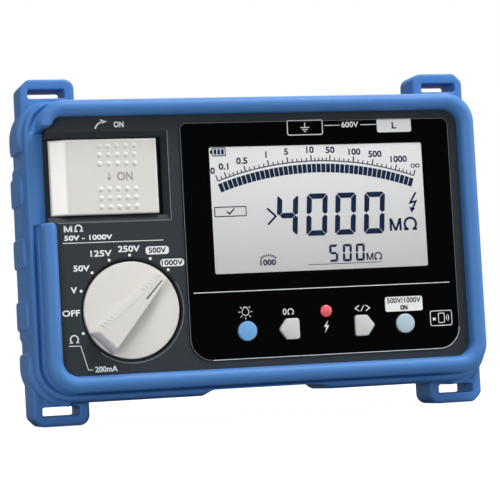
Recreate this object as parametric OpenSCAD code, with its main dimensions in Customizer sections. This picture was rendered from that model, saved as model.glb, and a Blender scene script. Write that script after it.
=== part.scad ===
// Insulation resistance tester: a landscape hand-held case in a moulded elastomer protector.
// Pieces are drawn in the panel's own frame, X right, Y up, Z out of the panel, with the
// panel face at Z = 0. upright() then stands the tester on its two lower strap loops.

/* [Case] */
// Outer width of the hard case
case_w = 173.2; // [170:0.2:182]
// Outer height of the hard case
case_h = 105.9; // [103:0.1:112]
// Outer corner radius of the hard case
case_r = 10; // [8:0.5:13]
// Depth of the hard case from its panel face to its back face
case_d = 36.2; // [35.4:0.1:42]
// Depth of the plane where the front and rear halves meet, which holds the socket axes
split_z = 20; // [19.5:0.1:21]
// Wall thickness of the case halves
wall = 2.2; // [1.8:0.1:2.6]
// Thickness of the front panel
panel_t = 2.4; // [2:0.1:2.8]
// Thickness of the back plate
back_t = 2.8; // [2.6:0.1:3.4]

/* [Protector] */
// Overlap of the protector's lip on the panel
lip_w = 2.2; // [1.6:0.1:3]
// Height of the bead above the panel
bead_rise = 5.5; // [4:0.1:7]
// Reach of the bead outside the case
bead_out = 4; // [3.6:0.1:5.4]
// Roundness of the bead's two edges
bead_r = 2.6; // [1.5:0.1:3]
// Reach of the rear band outside the case
band_out = 7.2; // [5.6:0.1:7.6]
// Reach of the rear band above the case, where it stays level with the bead
top_out = 4.6; // [4.2:0.1:5.5]
// Depth at which the rear band starts behind the bead
band_front = 7.4; // [6.6:0.1:9]
// Thickness of the protector behind the case
boot_back = 2.3; // [1.8:0.1:3]
// Width of the protector's lip on the back
back_lip = 5; // [3.5:0.1:5.2]
// Height of the raised field that carries the side pads, above the band
field_rise = 1.4; // [0.8:0.1:1.8]
// Height of the grip pads above what they stand on
pad_rise = 0.9; // [0.6:0.1:2]
// Height of the long pads under the body
skirt_rise = 0.8; // [0.6:0.1:1.6]
// Length of one side grip pad
pad_h = 11.6; // [8:0.2:14]
// Distance between side grip pads
pad_pitch = 24.5; // [20:0.5:26]
// Depth of the front edge of the pads
pad_front = 11; // [10:0.1:13]
// Depth of the rear edge of the pads
pad_rear = 31.5; // [28:0.5:33]
// Stretch of the straight side that a corner pad takes
corner_pad = 6; // [3:0.5:7]
// Half of the bare stretch between the two long pads
skirt_gap = 26; // [18:1:34]

/* [Strap loops] */
// Width of one strap loop
loop_w = 22.7; // [21:0.1:26]
// Reach of the strap loops outside the case, to the sides
loop_out = 7.6; // [7.2:0.1:8.4]
// Height of the lower strap loops below the band
loop_rise = 9.55; // [9:0.05:14]
// Height of the upper strap loops above the band
upper_rise = 7.55; // [7.5:0.05:14]
// Depth of the front face of the loops
loop_front = 14.2; // [13:0.1:15]
// Thickness of the loops
loop_d = 18.3; // [14:0.1:19]
// Width of the slot for the strap
slot_w = 14.8; // [12:0.1:16]
// Height of the slot for the strap
slot_h = 4.5; // [4.4:0.1:5.2]
// Thickness of the bar outside the slot
slot_bar = 3; // [2.6:0.1:4]
// Roundness of a loop's outer corner
loop_cut = 6; // [3:0.1:7]
// Roundness of a loop's inner corner
loop_inner_r = 4.5; // [2:0.1:6]

/* [Display] */
// Distance from the display plate to the rim of the knob's recess
fascia_gap = 1.6; // [0.8:0.1:4]
// Distance from the display plate to the protector's lip on the right
fascia_margin = 4; // [3:0.1:5]
// Distance from the display plate to the protector's lip above
fascia_top = 3.4; // [2:0.1:5]
// Distance from the display plate to the protector's lip below
fascia_low = 3.4; // [2:0.1:5]
// Thickness of the display plate
fascia_t = 1.6; // [1.2:0.1:1.8]
// Height of the display plate above the panel
fascia_proud = 0.4; // [0.2:0.1:0.6]
// Width of the plate's border on both sides of the display
lcd_side = 11.9; // [11:0.1:15]
// Width of the plate's border above the display
lcd_top = 10.5; // [9:0.1:13]
// Width of the plate's border below the display, where the buttons are
lcd_low = 34.15; // [33:0.05:37]
// Thickness of the display glass
glass_t = 2; // [1.6:0.1:2.4]
// Thickness of the backlight panel
backlight_t = 2.6; // [2:0.1:3]

/* [Buttons] */
// Height of the button row above the plate's lower edge
button_up = 11.15; // [10:0.05:12.5]
// Distance of the two inner buttons from the lamp
inner_button_x = 16; // [14:0.1:18]
// Distance of the two outer buttons from the lamp
outer_button_x = 33.2; // [30:0.1:36]
// Diameter of the round buttons
round_d = 7.8; // [7:0.1:9]
// Length and height of the pointed buttons
arrow_s = 8.4; // [7.6:0.1:9]
// Height of the buttons above the display plate
button_proud = 1.2; // [1.1:0.1:2]
// Travel of the buttons
button_travel = 1; // [0.6:0.1:1.1]
// Diameter of the warning lamp
led_d = 4.8; // [4:0.1:5.4]
// Height of the warning lamp above the button row
led_up = 6.5; // [6:0.1:7.4]

/* [Range knob] */
// Diameter of the knob's disc
knob_d = 37.6; // [34:0.2:39]
// Distance from the protector's lip to the knob's axis
knob_inset = 28.9; // [27.5:0.1:31]
// Height of the knob's axis above the protector's lip
knob_low = 24.95; // [24:0.05:26]
// Depth of the round recess that the knob turns in
knob_recess = 3.2; // [2.6:0.1:3.6]
// Gap between the knob and the wall of its recess
knob_gap = 1.3; // [0.6:0.1:1.6]
// Height of the grip bar above the panel
bar_rise = 8; // [6:0.1:10]
// Width of the grip bar's tail
bar_tail_w = 9.6; // [8:0.1:11]
// Width of the grip bar's tip
bar_tip_w = 3.4; // [2.8:0.1:5]
// Diameter of the switch shaft
shaft_d = 6; // [5:0.1:6.4]
// Number of clicks in a full turn
clicks = 16; // [12:1:18]

/* [Measure lever] */
// Length of the lever
lever_w = 42.6; // [40:0.1:44]
// Height of the lever
lever_h = 29.6; // [28:0.1:31]
// Distance of the lever's middle from the protector's lip above
lever_down = 23.95; // [23.2:0.05:24.6]
// Gap between the lever's lifting end and the protector
thumb_gap = 1.4; // [0.6:0.1:2]
// Distance from the lever to the rim of its well
well_margin = 2.9; // [2:0.1:3.2]
// Depth of the lever's well
well_depth = 7; // [6.8:0.1:7.4]
// Length of the slope at the lever's lifting end
bevel_w = 6.6; // [4:0.1:9]
// Drop of the slope at the lever's lifting end
bevel_drop = 2.6; // [1.5:0.1:3]
// Diameter of the lever's hinge pin
pin_d = 2.4; // [2:0.1:2.8]
// Diameter of the finger domes on the lever
dome_d = 2.2; // [1.6:0.1:2.6]
// Distance between the finger domes
dome_pitch = 3.5; // [3:0.1:3.8]

/* [Terminals] */
// Distance between the two measuring sockets
socket_pitch = 38.1; // [30:0.1:40]
// Distance of the sockets' middle from the display's middle
socket_shift = 14.4; // [8:0.1:16]
// Diameter of the plug that a socket takes
plug_d = 4; // [3.6:0.1:4.4]
// Depth of a socket's bore
socket_depth = 20; // [16:0.5:22]
// Diameter of the round well about a socket
shroud_d = 11; // [10:0.1:11.4]

/* [Batteries] */
// Diameter of one cell
cell_d = 14.5; // [13.6:0.1:14.6]
// Length of one cell
cell_l = 50.5; // [46:0.1:52]
// Distance of the battery bay's middle from the panel's middle, to the right
bay_x = 20; // [16:0.5:24]
// Distance from the battery bay to the terminals
bay_gap = 1; // [0.5:0.1:3]
// Thickness of the battery cover
cover_t = 1.6; // [1.2:0.1:1.8]

/* [Circuit board] */
// Depth of the board's front face behind the panel
board_z = 11; // [10.8:0.1:11.2]
// Thickness of the board
board_t = 1.6; // [1.2:0.1:1.8]

/* [Fit] */
// Gap between pieces that are set into one another
seat = 0.1; // [0.05:0.01:0.2]
// Gap about pieces that move
free = 0.3; // [0.25:0.01:0.4]
// Radial clearance of pins and shafts in their bores
run = 0.05; // [0.02:0.01:0.08]

/* [Hidden] */
$fn = 64;
eps = 0.01;
past = 1;

blue = "#3f78bd";
charcoal = "#373e44";
black = "#0a0a0b";
ivory = "#e4e1db";
steel = "#b9bcc0";
brass = "#c8a455";

// Outline of the protector
boot_d = case_d + boot_back;
field_out = band_out + field_rise;
pad_out = field_out + pad_rise;
field_edge = 4;
foot_y = case_h / 2 + band_out + loop_rise;
depth_mid = (boot_d - bar_rise) / 2;
panel_w = case_w - 2 * lip_w;
panel_h = case_h - 2 * lip_w;
arc_x = case_w / 2 - case_r;
arc_y = case_h / 2 - case_r;

// Places on the panel
knob_x = -panel_w / 2 + knob_inset;
knob_y = -panel_h / 2 + knob_low;
recess_r = knob_d / 2 + knob_gap;
rim_cut = 0.8;
cup_floor = 1.6;
cup_z = knob_recess + cup_floor;
fascia_x0 = knob_x + recess_r + rim_cut + fascia_gap;
fascia_w = panel_w / 2 - fascia_margin - fascia_x0;
fascia_x = fascia_x0 + fascia_w / 2;
fascia_h = panel_h - fascia_top - fascia_low;
fascia_y = (fascia_low - fascia_top) / 2;
fascia_top_r = 2.8;
fascia_low_r = 9;
fascia_floor = fascia_t - fascia_proud;
window_ledge = 0.8;
window_r = 1;
lcd_w = fascia_w - 2 * lcd_side;
lcd_h = fascia_h - lcd_top - lcd_low;
lcd_y = fascia_y + (lcd_low - lcd_top) / 2;
button_y = fascia_y - fascia_h / 2 + button_up;
led_y = button_y + led_up;

// Lever and its well
lever_y = panel_h / 2 - lever_down;
lever_x0 = -case_w / 2 + thumb_gap;
lever_x1 = lever_x0 + lever_w;
lever_top = 0.3;
lever_t = 1.8;
lever_edge = 0.6;
lever_lip = 1.2;
barrel_t = 1.5;
hinge_inset = 4;
hinge_x = lever_x1 - hinge_inset;
hinge_r = pin_d / 2 + barrel_t;
hinge_z = hinge_r + free - well_depth;
well_rim_x = lever_x1 + well_margin + 1.7;
well_foot_x = lever_x1 + 2.4;
well_gap = 0.6;
tray_t = 1.4;
ear = 4;
gap_low = 1.8;
gap_top = 4.1;
gap_y0 = lever_y - lever_h / 2 - gap_low;
gap_y1 = lever_y + lever_h / 2 + gap_top;
plunger_arm = 16;
plunger_x = hinge_x - plunger_arm;
plunger_w = 5;
plunger_low = 8.5;

// Fasteners
boss_r = 4;
boss_x = case_w / 2 - 8.5;
boss_y = case_h / 2 - 11;
screw_r = 1.45;
screw_head_r = 2.8;
screw_head_h = 2;
head_sink = 0.5;
cross = [3.2, 0.7, 1.4];
countersink = cover_t - 0.3;
case_screw_bite = 8;
post_head_r = 2;
post_head_h = 1.4;
post_screw_l = 5;
post_r = 2.4;
post_screw_r = 0.9;
frame_edge = 3.2;
frame_w = lcd_w + 2 * frame_edge;
frame_h = lcd_h + 2 * frame_edge;
post_gap = 2;
post_low = 6.6;
post_right = [fascia_x + frame_w / 2 + post_r + post_gap, panel_h / 4];
post_left = [fascia_x - frame_w / 2 - post_r - 2 * post_gap, panel_h / 5];
posts = [post_right, [post_right.x, -post_right.y], post_left, [post_left.x, -panel_h / 2 + post_low]];

// Display stack
frame_t = 1.8;
glass_z = panel_t;
backlight_z = glass_z + glass_t;
ledge_z = backlight_z + backlight_t;
ledge_t = 1.2;
zebra_t = 2.2;
zebra_gap = 1;

// Buttons and their switches
flange = 1;
flange_t = 1;
flange_z = panel_t + seat;
stem_r = 1.5;
tact_s = 6;
tact_h = 2.6;
tact_tip = 0.9;
tact_tip_r = 1.75;
stem_rest = 0.2;
stem_low = board_z - tact_h - tact_tip - button_travel - stem_rest;
button_xs = [-outer_button_x, -inner_button_x, inner_button_x, outer_button_x];

// Parts of the high-voltage supply, behind the board
supply_shift = 12;
supply_rise = 4;
film_t = 6;
film_w = 16;
film_h = 12;
film_gap = 2;
relay_l = 20;
relay_w = 10;
relay_h = 11;
buzzer_r = 6;
buzzer_gap = 6;

// Rotary switch under the knob
ring_t = 1.8;
ring_r = 16.6;
ring_in = 13;
notch_r = 1;
rotor_gap = 0.4;
rotor_z = cup_z + ring_t + rotor_gap;
rotor_t = 1.8;
rotor_r = 15;
rotor_hole_r = 2.2;
pilot_r = shaft_d / 4;
disc_top = 1.4;
disc_edge = 1;
tail_margin = 2.6;
tip_margin = 3.4;
disc_low = knob_recess - free;
shaft_top = disc_top + 2;
slit_w = 1.3;
slit_depth = 1;
slit_x = 5.5;
inlay_sink = 0.2;

// Terminals
socket_x = fascia_x + socket_shift;
block_edge = 9;
block_w = socket_pitch + 2 * block_edge;
block_h = 26;
block_d = 14;
sleeve_r = plug_d / 2 + 1;
socket_bore = plug_d / 2 + run;
block_y0 = case_h / 2 - block_h;
shroud_low = case_h / 2 - socket_depth + 4;
socket_top = case_h / 2 - 1;
socket_tail = 2;

// Battery bay
cells = 4;
cell_pitch = cell_d + 0.7;
bay_end = 2.4;
bay_w = cells * cell_pitch + 0.4;
bay_l = cell_l + 2 * bay_end;
bay_t = 1.6;
cell_z = case_d - cover_t - free - cell_d / 2;
bay_floor = cell_z - cell_d / 2 - 0.5;
bay_y = block_y0 - socket_tail - bay_gap - bay_t - bay_l / 2;
cover_ear = 9;
cover_rim = 2.5;
cover_w = bay_w + 2 * cover_ear;
cover_l = bay_l + 2 * cover_rim;
cover_r = 3;
cover_boss_x = bay_w / 2 + cover_ear / 2 + 0.4;
cover_boss_r = 3.4;
cover_boss_h = 5;

// Stands the panel frame upright on the lower strap loops
module upright()
    translate([0, -depth_mid, foot_y]) rotate([90, 0, 0]) children();

// A rectangle with round corners, in true arcs
module rounded_rect(w, h, r) {
    square([w - 2 * r, h], center = true);
    square([w, h - 2 * r], center = true);
    for (x = [-1, 1], y = [-1, 1])
        translate([x * (w / 2 - r), y * (h / 2 - r)]) circle(r);
}

// A slab with round corners between two heights
module slab(w, h, r, z0, z1)
    translate([0, 0, z0]) linear_extrude(z1 - z0) rounded_rect(w, h, r);

// A box given by its lowest and highest corners
module block(a, b) translate(a) cube(b - a);

// A cylinder along Z between two heights
module post(x, y, r, z0, z1) translate([x, y, z0]) cylinder(r = r, h = z1 - z0);

// A cylinder along Y between two heights
module pin_y(x, z, r, y0, y1) translate([x, y0, z]) rotate([-90, 0, 0]) cylinder(r = r, h = y1 - y0);

// A profile in the XZ plane drawn out along Y
module along_y(y0, y1) translate([0, y1, 0]) rotate([90, 0, 0]) linear_extrude(y1 - y0) children();

// A profile in the YZ plane drawn out along X
module along_x(x0, x1)
    translate([x0, 0, 0]) rotate([90, 0, 90]) linear_extrude(x1 - x0) children();

// Carries a profile round the case's outline: its X counts outwards, its Y along Z
module round_the_case() {
    for (turn = [0, 180]) rotate([0, 0, turn]) {
        translate([case_w / 2, arc_y, 0]) rotate([90, 0, 0]) linear_extrude(2 * arc_y) children();
        translate([arc_x, arc_y, 0]) rotate_extrude(angle = 90) translate([case_r, 0]) children();
        translate([-arc_x, case_h / 2, 0]) rotate([90, 0, 90]) linear_extrude(2 * arc_x) children();
        translate([-arc_x, arc_y, 0]) rotate([0, 0, 90]) rotate_extrude(angle = 90)
            translate([case_r, 0]) children();
    }
}

// Points of a convex outline with every corner rounded to radius r
function unit(v) = v / norm(v);
function corner_arc(p, q, s, r, n) =
    let (a = unit(p - q), b = unit(s - q), m = unit(a + b), half = acos(a * b) / 2,
         c = q + m * r / sin(half), from = q + a * r / tan(half) - c, to = q + b * r / tan(half) - c,
         a0 = atan2(from.y, from.x), turn = atan2(from.x * to.y - from.y * to.x, from * to))
    [for (i = [0:n]) c + r * [cos(a0 + turn * i / n), sin(a0 + turn * i / n)]];
function rounded(points, r, n = 5) =
    let (k = len(points))
    [for (i = [0:k - 1]) each corner_arc(points[(i + k - 1) % k], points[i], points[(i + 1) % k], r, n)];

// Section of the protector: bead, groove, rear band and back lip
module protector_section() {
    bead_z = bead_rise - bead_r;
    groove_r = 1.5;
    band_r = 1.6;
    back_r = 3;
    difference() {
        union() {
            translate([-lip_w, 0]) square([lip_w + bead_out, bead_z]);
            for (x = [-lip_w + bead_r, bead_out - bead_r]) translate([x, bead_z]) circle(bead_r);
            translate([-lip_w + bead_r, bead_z])
                square([lip_w + bead_out - 2 * bead_r, bead_r]);
            translate([seat, -boot_d + back_r]) square([bead_out - seat, boot_d - back_r + eps]);
            translate([seat, -boot_d + back_r])
                square([band_out - seat, boot_d - back_r - band_front - band_r]);
            translate([band_out - band_r, -band_front - band_r]) circle(band_r);
            translate([seat, -band_front - band_r]) square([band_out - band_r - seat, band_r]);
            translate([band_out - back_r, -boot_d + back_r]) circle(back_r);
            translate([-back_lip, -boot_d])
                square([back_lip + band_out - back_r, boot_back]);
            translate([seat, -boot_d]) square([band_out - back_r - seat, back_r + eps]);
        }
        translate([bead_out + groove_r / 2, -band_front + groove_r]) circle(groove_r);
    }
}

// Section of a grip pad on the band
module pad_section(rise)
    translate([seat + past, -pad_rear]) square([band_out + rise - seat - past, pad_rear - pad_front]);

// A raised field on the right side, with round corners
module side_field(y, h, margin, out, r)
    translate([case_w / 2 + seat + past, y, -(pad_front + pad_rear) / 2]) rotate([90, 0, 90])
        linear_extrude(out - seat - past) rounded_rect(h, pad_rear - pad_front + 2 * margin, r);

// Pad round the upper right corner, as high as the side pads
module corner_ridge() {
    rise = field_rise + pad_rise;
    translate([arc_x, arc_y, 0]) rotate_extrude(angle = 90) translate([case_r, 0]) pad_section(rise);
    translate([case_w / 2, arc_y, 0]) rotate([90, 0, 0]) linear_extrude(corner_pad) pad_section(rise);
}

// Outline of the right strap loop that stands above the band by the given rise
module loop_outline(rise) {
    x1 = case_w / 2 + loop_out;
    x0 = x1 - loop_w;
    y1 = case_h / 2 + band_out + rise;
    y0 = case_h / 2 + band_out / 2;
    slot_x = (x0 + x1) / 2;
    slot_y = y1 - slot_bar - slot_h / 2;
    edge_y = arc_y + case_r * 0.4;
    difference() {
        union() {
            polygon([
                [x0, y0], [x1 - case_r - band_out, y0], [x1 - band_out, edge_y], [x1, edge_y],
                [x1, y1 - loop_cut], [x1 - loop_cut, y1], [x0 + loop_inner_r, y1], [x0, y1 - loop_inner_r]
            ]);
            translate([x1 - loop_cut, y1 - loop_cut]) circle(loop_cut);
            translate([x0 + loop_inner_r, y1 - loop_inner_r]) circle(loop_inner_r);
        }
        translate([slot_x, slot_y]) rounded_rect(slot_w, slot_h, slot_h / 6);
    }
}

// Blue elastomer boot with its bead, grip pads and four strap loops
module protector() color(blue) upright() {
    difference() {
        union() {
            difference() {
                union() {
                    round_the_case() protector_section();
                    for (x = [0, 1], y = [0, 1]) mirror([x, 0, 0]) mirror([0, y, 0]) corner_ridge();
                }
                block([-case_w, case_h / 2 + top_out, -boot_d - past], [case_w, case_h, past]);
            }
            for (x = [0, 1], y = [0, 1]) mirror([x, 0, 0]) mirror([0, y, 0])
                translate([0, 0, -loop_front - loop_d]) linear_extrude(loop_d)
                    loop_outline(y == 0 ? upper_rise : loop_rise);
            for (x = [0, 1]) mirror([x, 0, 0]) {
                side_field(0, 2 * pad_pitch + pad_h + 2 * field_edge, field_edge / 4, field_out, field_edge);
                for (y = [-1, 0, 1]) side_field(y * pad_pitch, pad_h, 0, pad_out, field_edge / 2);
            }
            for (x = [0, 1]) mirror([x, 0, 0]) mirror([0, 1, 0])
                translate([skirt_gap, case_h / 2, 0]) rotate([90, 0, 90])
                    linear_extrude(arc_x - skirt_gap) pad_section(skirt_rise);
        }
        slab(case_w + 2 * seat, case_h + 2 * seat, case_r + seat, -case_d, 0);
        lever_gap();
        block([socket_x - block_w / 2 - free, 0, -split_z - block_d / 2 - free],
              [socket_x + block_w / 2 + free, case_h, -split_z + block_d / 2 + free]);
    }
}

// Rounds a corner at the origin, of a form that lies towards +X and +Y
module round_corner(r)
    difference() {
        translate([-past, -past]) square(r + past);
        translate([r, r]) circle(r);
    }

// Break in the bead that gives the thumb room under the lever's lifting end, with round bead ends
module lever_gap() {
    x0 = -case_w / 2 - bead_out;
    x1 = -case_w / 2 + lip_w;
    end_r = 2.8;
    translate([0, 0, -well_depth]) linear_extrude(well_depth + bead_rise + past) {
        translate([-case_w, gap_y0]) square([case_w + x1 + past, gap_y1 - gap_y0]);
        translate([x1, gap_y0]) rotate(180) round_corner(end_r);
        translate([x0, gap_y0]) mirror([0, 1]) round_corner(end_r);
        translate([x0, gap_y1]) round_corner(end_r);
    }
}

// Bevelled pocket in the panel for the lever, open to the left
module lever_well() {
    half = lever_h / 2;
    bevel_z = 1.6;
    intersection() {
        along_y(lever_y - lever_h, lever_y + lever_h)
            polygon([
                [-case_w / 2 - past, past], [well_rim_x, past], [well_rim_x, 0],
                [well_foot_x, -well_depth / 2], [well_foot_x, -well_depth],
                [-case_w / 2 - past, -well_depth]
            ]);
        along_x(-case_w, well_rim_x + past)
            polygon([
                [lever_y - half - well_margin, past], [lever_y - half - well_margin, 0],
                [lever_y - half - well_gap, -bevel_z], [lever_y - half - well_gap, -well_depth],
                [lever_y + half + well_gap, -well_depth], [lever_y + half + well_gap, -bevel_z],
                [lever_y + half + well_margin, 0], [lever_y + half + well_margin, past]
            ]);
    }
}

// Outline of the display plate, with small round corners above and large ones below
module fascia_outline(gap) {
    w = fascia_w / 2 + gap;
    h = fascia_h / 2 + gap;
    top = fascia_top_r + gap;
    low = fascia_low_r + gap;
    translate([fascia_x, fascia_y]) {
        translate([-w, -h + low]) square([2 * w, 2 * h - low - top]);
        translate([-w + top, -h + low]) square([2 * w - 2 * top, 2 * h - low]);
        translate([-w + low, -h]) square([2 * w - 2 * low, 2 * h - top]);
        for (s = [-1, 1]) {
            translate([s * (w - top), h - top]) circle(top);
            translate([s * (w - low), -h + low]) circle(low);
        }
    }
}

// Outline of a pointed button whose tip looks to the left (-1) or to the right (1)
module arrow_outline(side, gap) {
    half = arrow_s / 2 + gap;
    shoulder = half - arrow_s * 0.36;
    points = [[-half, -half], [shoulder, -half], [half, 0], [shoulder, half], [-half, half]];
    mirror([side < 0 ? 1 : 0, 0]) polygon(rounded(points, 0.7 + gap));
}

// Outlines of the four buttons, widened by a gap
module button_outline(i, gap) {
    translate([fascia_x + button_xs[i], button_y]) {
        if (i == 0 || i == 3) circle(round_d / 2 + gap);
        if (i == 1) arrow_outline(-1, gap);
        if (i == 2) arrow_outline(1, gap);
    }
}

// Openings for the buttons and the lamp, through the plate and the panel
module button_holes() {
    for (i = [0:3]) translate([0, 0, -panel_t - past]) linear_extrude(panel_t + 2 * past + fascia_proud)
        button_outline(i, free);
    post(fascia_x, led_y, led_d / 2 + seat, -panel_t - past, fascia_proud + past);
}

// Front half of the case: panel, knob recess, lever well, screw bosses and board posts
module front_case() color(charcoal) upright() {
    inside = panel_t + eps;
    difference() {
        union() {
            difference() {
                slab(case_w, case_h, case_r, -split_z, 0);
                slab(case_w - 2 * wall, case_h - 2 * wall, case_r - wall, -split_z - past, -panel_t);
            }
            post(knob_x, knob_y, recess_r + cup_floor, -cup_z, -inside + past);
            block([-case_w / 2 + wall / 2, lever_y - lever_h / 2 - well_gap - ear, -well_depth - tray_t],
                  [well_rim_x + tray_t, lever_y + lever_h / 2 + well_gap + ear, -inside + past]);
            for (x = [-1, 1], y = [-1, 1]) post(x * boss_x, y * boss_y, boss_r, -split_z, -inside + past);
            for (p = posts) post(p.x, p.y, post_r, -board_z, -inside + past);
        }
        translate([0, 0, -fascia_floor]) linear_extrude(fascia_t + past) fascia_outline(seat);
        translate([fascia_x, lcd_y, 0]) slab(lcd_w, lcd_h, window_r, -panel_t - past, past);
        button_holes();
        post(knob_x, knob_y, recess_r, -knob_recess, past);
        translate([knob_x, knob_y, -rim_cut])
            cylinder(r1 = recess_r, r2 = recess_r + rim_cut + eps, h = rim_cut + eps);
        post(knob_x, knob_y, shaft_d / 2 + run, -cup_z - past, past);
        lever_well();
        block([plunger_x - plunger_w / 2 - 1, lever_y - plunger_w / 2 - 1, -well_depth - tray_t - past],
              [plunger_x + plunger_w / 2 + 1, lever_y + plunger_w / 2 + 1, 0]);
        pin_y(hinge_x, hinge_z, pin_d / 2 + run, lever_y - lever_h / 2 - well_gap - ear + past,
              lever_y + lever_h / 2 + well_gap + ear - past);
        for (x = [-1, 1], y = [-1, 1])
            post(x * boss_x, y * boss_y, screw_r + run, -split_z - past, -split_z + case_screw_bite + past);
        for (p = posts) post(p.x, p.y, post_screw_r + run, -board_z - past, -board_z + post_screw_l + past);
        socket_notch();
    }
}

// Opening for the terminal block in the top walls of both case halves
module socket_notch()
    block([socket_x - block_w / 2 - seat, case_h / 2 - wall - past, -split_z - block_d / 2 - seat],
          [socket_x + block_w / 2 + seat, case_h / 2 + past, -split_z + block_d / 2 + seat]);

// Rear half of the case: back plate, battery bay and screw sleeves
module rear_case() color(charcoal) upright() {
    floor_z = -case_d + back_t;
    difference() {
        union() {
            difference() {
                slab(case_w, case_h, case_r, -case_d, -split_z);
                slab(case_w - 2 * wall, case_h - 2 * wall, case_r - wall, floor_z, past);
            }
            block([bay_x - bay_w / 2 - bay_t, bay_y - bay_l / 2 - bay_t, floor_z - eps],
                  [bay_x + bay_w / 2 + bay_t, bay_y + bay_l / 2 + bay_t, -bay_floor + bay_t]);
            for (x = [-1, 1])
                post(bay_x + x * cover_boss_x, bay_y, cover_boss_r, floor_z - eps, floor_z + cover_boss_h);
            for (x = [-1, 1], y = [-1, 1]) post(x * boss_x, y * boss_y, boss_r, floor_z - eps, -split_z);
        }
        block([bay_x - bay_w / 2, bay_y - bay_l / 2, -case_d - past],
              [bay_x + bay_w / 2, bay_y + bay_l / 2, -bay_floor]);
        translate([bay_x, bay_y, 0])
            slab(cover_w + 2 * free, cover_l + 2 * free, cover_r + free, -case_d - past, -case_d + cover_t);
        for (x = [-1, 1])
            post(bay_x + x * cover_boss_x, bay_y, screw_r + run, -case_d - past,
                 floor_z + cover_boss_h + past);
        for (x = [-1, 1], y = [-1, 1]) {
            post(x * boss_x, y * boss_y, screw_r + free, -case_d - past, past - split_z);
            post(x * boss_x, y * boss_y, screw_head_r + seat, -case_d - past,
                 -case_d + head_sink + screw_head_h);
        }
        socket_notch();
    }
}

// A pan-head screw whose head faces the back, with a cross recess
module rear_screw(x, y, head_z, length)
    difference() {
        union() {
            post(x, y, screw_head_r, head_z, head_z + screw_head_h);
            post(x, y, screw_r, head_z, head_z + length);
        }
        for (a = [0, 90]) translate([x, y, head_z]) rotate(a) cube(cross, center = true);
    }

// Lift-off lid of the battery bay
module battery_cover() color(charcoal) upright() translate([bay_x, bay_y, 0])
    difference() {
        slab(cover_w, cover_l, cover_r, -case_d, -case_d + cover_t);
        for (x = [-1, 1]) {
            post(x * cover_boss_x, 0, screw_r + seat, -case_d - past, 0);
            translate([x * cover_boss_x, 0, -case_d - eps])
                cylinder(r1 = screw_head_r + 2 * seat, r2 = screw_r + seat, h = countersink);
        }
    }

// The two countersunk screws that hold the battery cover
module battery_cover_screws() color(steel) upright()
    for (x = [-1, 1]) translate([bay_x + x * cover_boss_x, bay_y, -case_d + seat])
        difference() {
            union() {
                cylinder(r1 = screw_head_r, r2 = screw_r, h = countersink - seat);
                cylinder(r = screw_r, h = cover_t + cover_boss_h);
            }
            for (a = [0, 90]) rotate(a) cube(cross, center = true);
        }

// The four screws that hold the case halves together
module case_screws() color(steel) upright()
    for (x = [-1, 1], y = [-1, 1])
        rear_screw(x * boss_x, y * boss_y, -case_d + head_sink, case_d - split_z + case_screw_bite);

// Black printed plate over the display, with holes for the buttons and the lamp
module fascia_plate() color(black) upright()
    difference() {
        translate([0, 0, -fascia_floor]) linear_extrude(fascia_t) fascia_outline(0);
        translate([fascia_x, lcd_y, 0])
            slab(lcd_w + 2 * window_ledge, lcd_h + 2 * window_ledge, window_r + window_ledge,
                 -past - fascia_t, past);
        button_holes();
    }

// Clear pane over the display, flush with the black plate
module lcd_window() color("lightcyan", 0.4) upright() {
    edge = window_ledge - seat;
    translate([fascia_x, lcd_y, 0])
        slab(lcd_w + 2 * edge, lcd_h + 2 * edge, window_r + edge, -fascia_floor, fascia_proud);
}

// Liquid-crystal glass behind the panel's window
module lcd_panel() color("#c3c6c4") upright()
    translate([fascia_x, lcd_y, 0])
        block([-frame_w / 2 + frame_t + seat, -frame_h / 2 + frame_t + seat, -glass_z - glass_t],
              [frame_w / 2 - frame_t - seat, frame_h / 2 - frame_t - seat, -glass_z]);

// Light guide behind the glass, short of the connector strip
module backlight_panel() color("white") upright()
    translate([fascia_x, lcd_y, 0])
        block([-frame_w / 2 + frame_t + seat, -frame_h / 2 + frame_t + zebra_t + 2 * zebra_gap,
               -backlight_z - backlight_t],
              [frame_w / 2 - frame_t - seat, frame_h / 2 - frame_t - seat, -backlight_z]);

// Frame that carries glass and backlight on the board
module lcd_frame() color("#d8d8d4") upright()
    translate([fascia_x, lcd_y, 0])
        difference() {
            block([-frame_w / 2, -frame_h / 2, -board_z], [frame_w / 2, frame_h / 2, -panel_t]);
            block([-frame_w / 2 + frame_t, -frame_h / 2 + frame_t, -ledge_z],
                  [frame_w / 2 - frame_t, frame_h / 2 - frame_t, past]);
            block([-frame_w / 2 + 3 * frame_t, -frame_h / 2 + 3 * frame_t + zebra_t, -board_z - past],
                  [frame_w / 2 - 3 * frame_t, frame_h / 2 - 3 * frame_t, past]);
            block([-frame_w / 2 + frame_t, -frame_h / 2 + frame_t, -board_z - past],
                  [frame_w / 2 - frame_t, frame_h / 2 - 3 * frame_t, -ledge_z - ledge_t]);
            block([-frame_w / 2 + 3 * frame_t, -frame_h / 2 + frame_t, -board_z - past],
                  [frame_w / 2 - 3 * frame_t, -frame_h / 2 + frame_t + zebra_t + 2 * zebra_gap, past]);
        }

// Conductive rubber strip between the glass and the board
module lcd_connector() color("#5c5f61") upright()
    translate([fascia_x, lcd_y, 0])
        block([-frame_w / 2 + 4 * frame_t, -frame_h / 2 + frame_t + zebra_gap, -board_z],
              [frame_w / 2 - 4 * frame_t, -frame_h / 2 + frame_t + zebra_gap + zebra_t, -backlight_z]);

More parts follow.
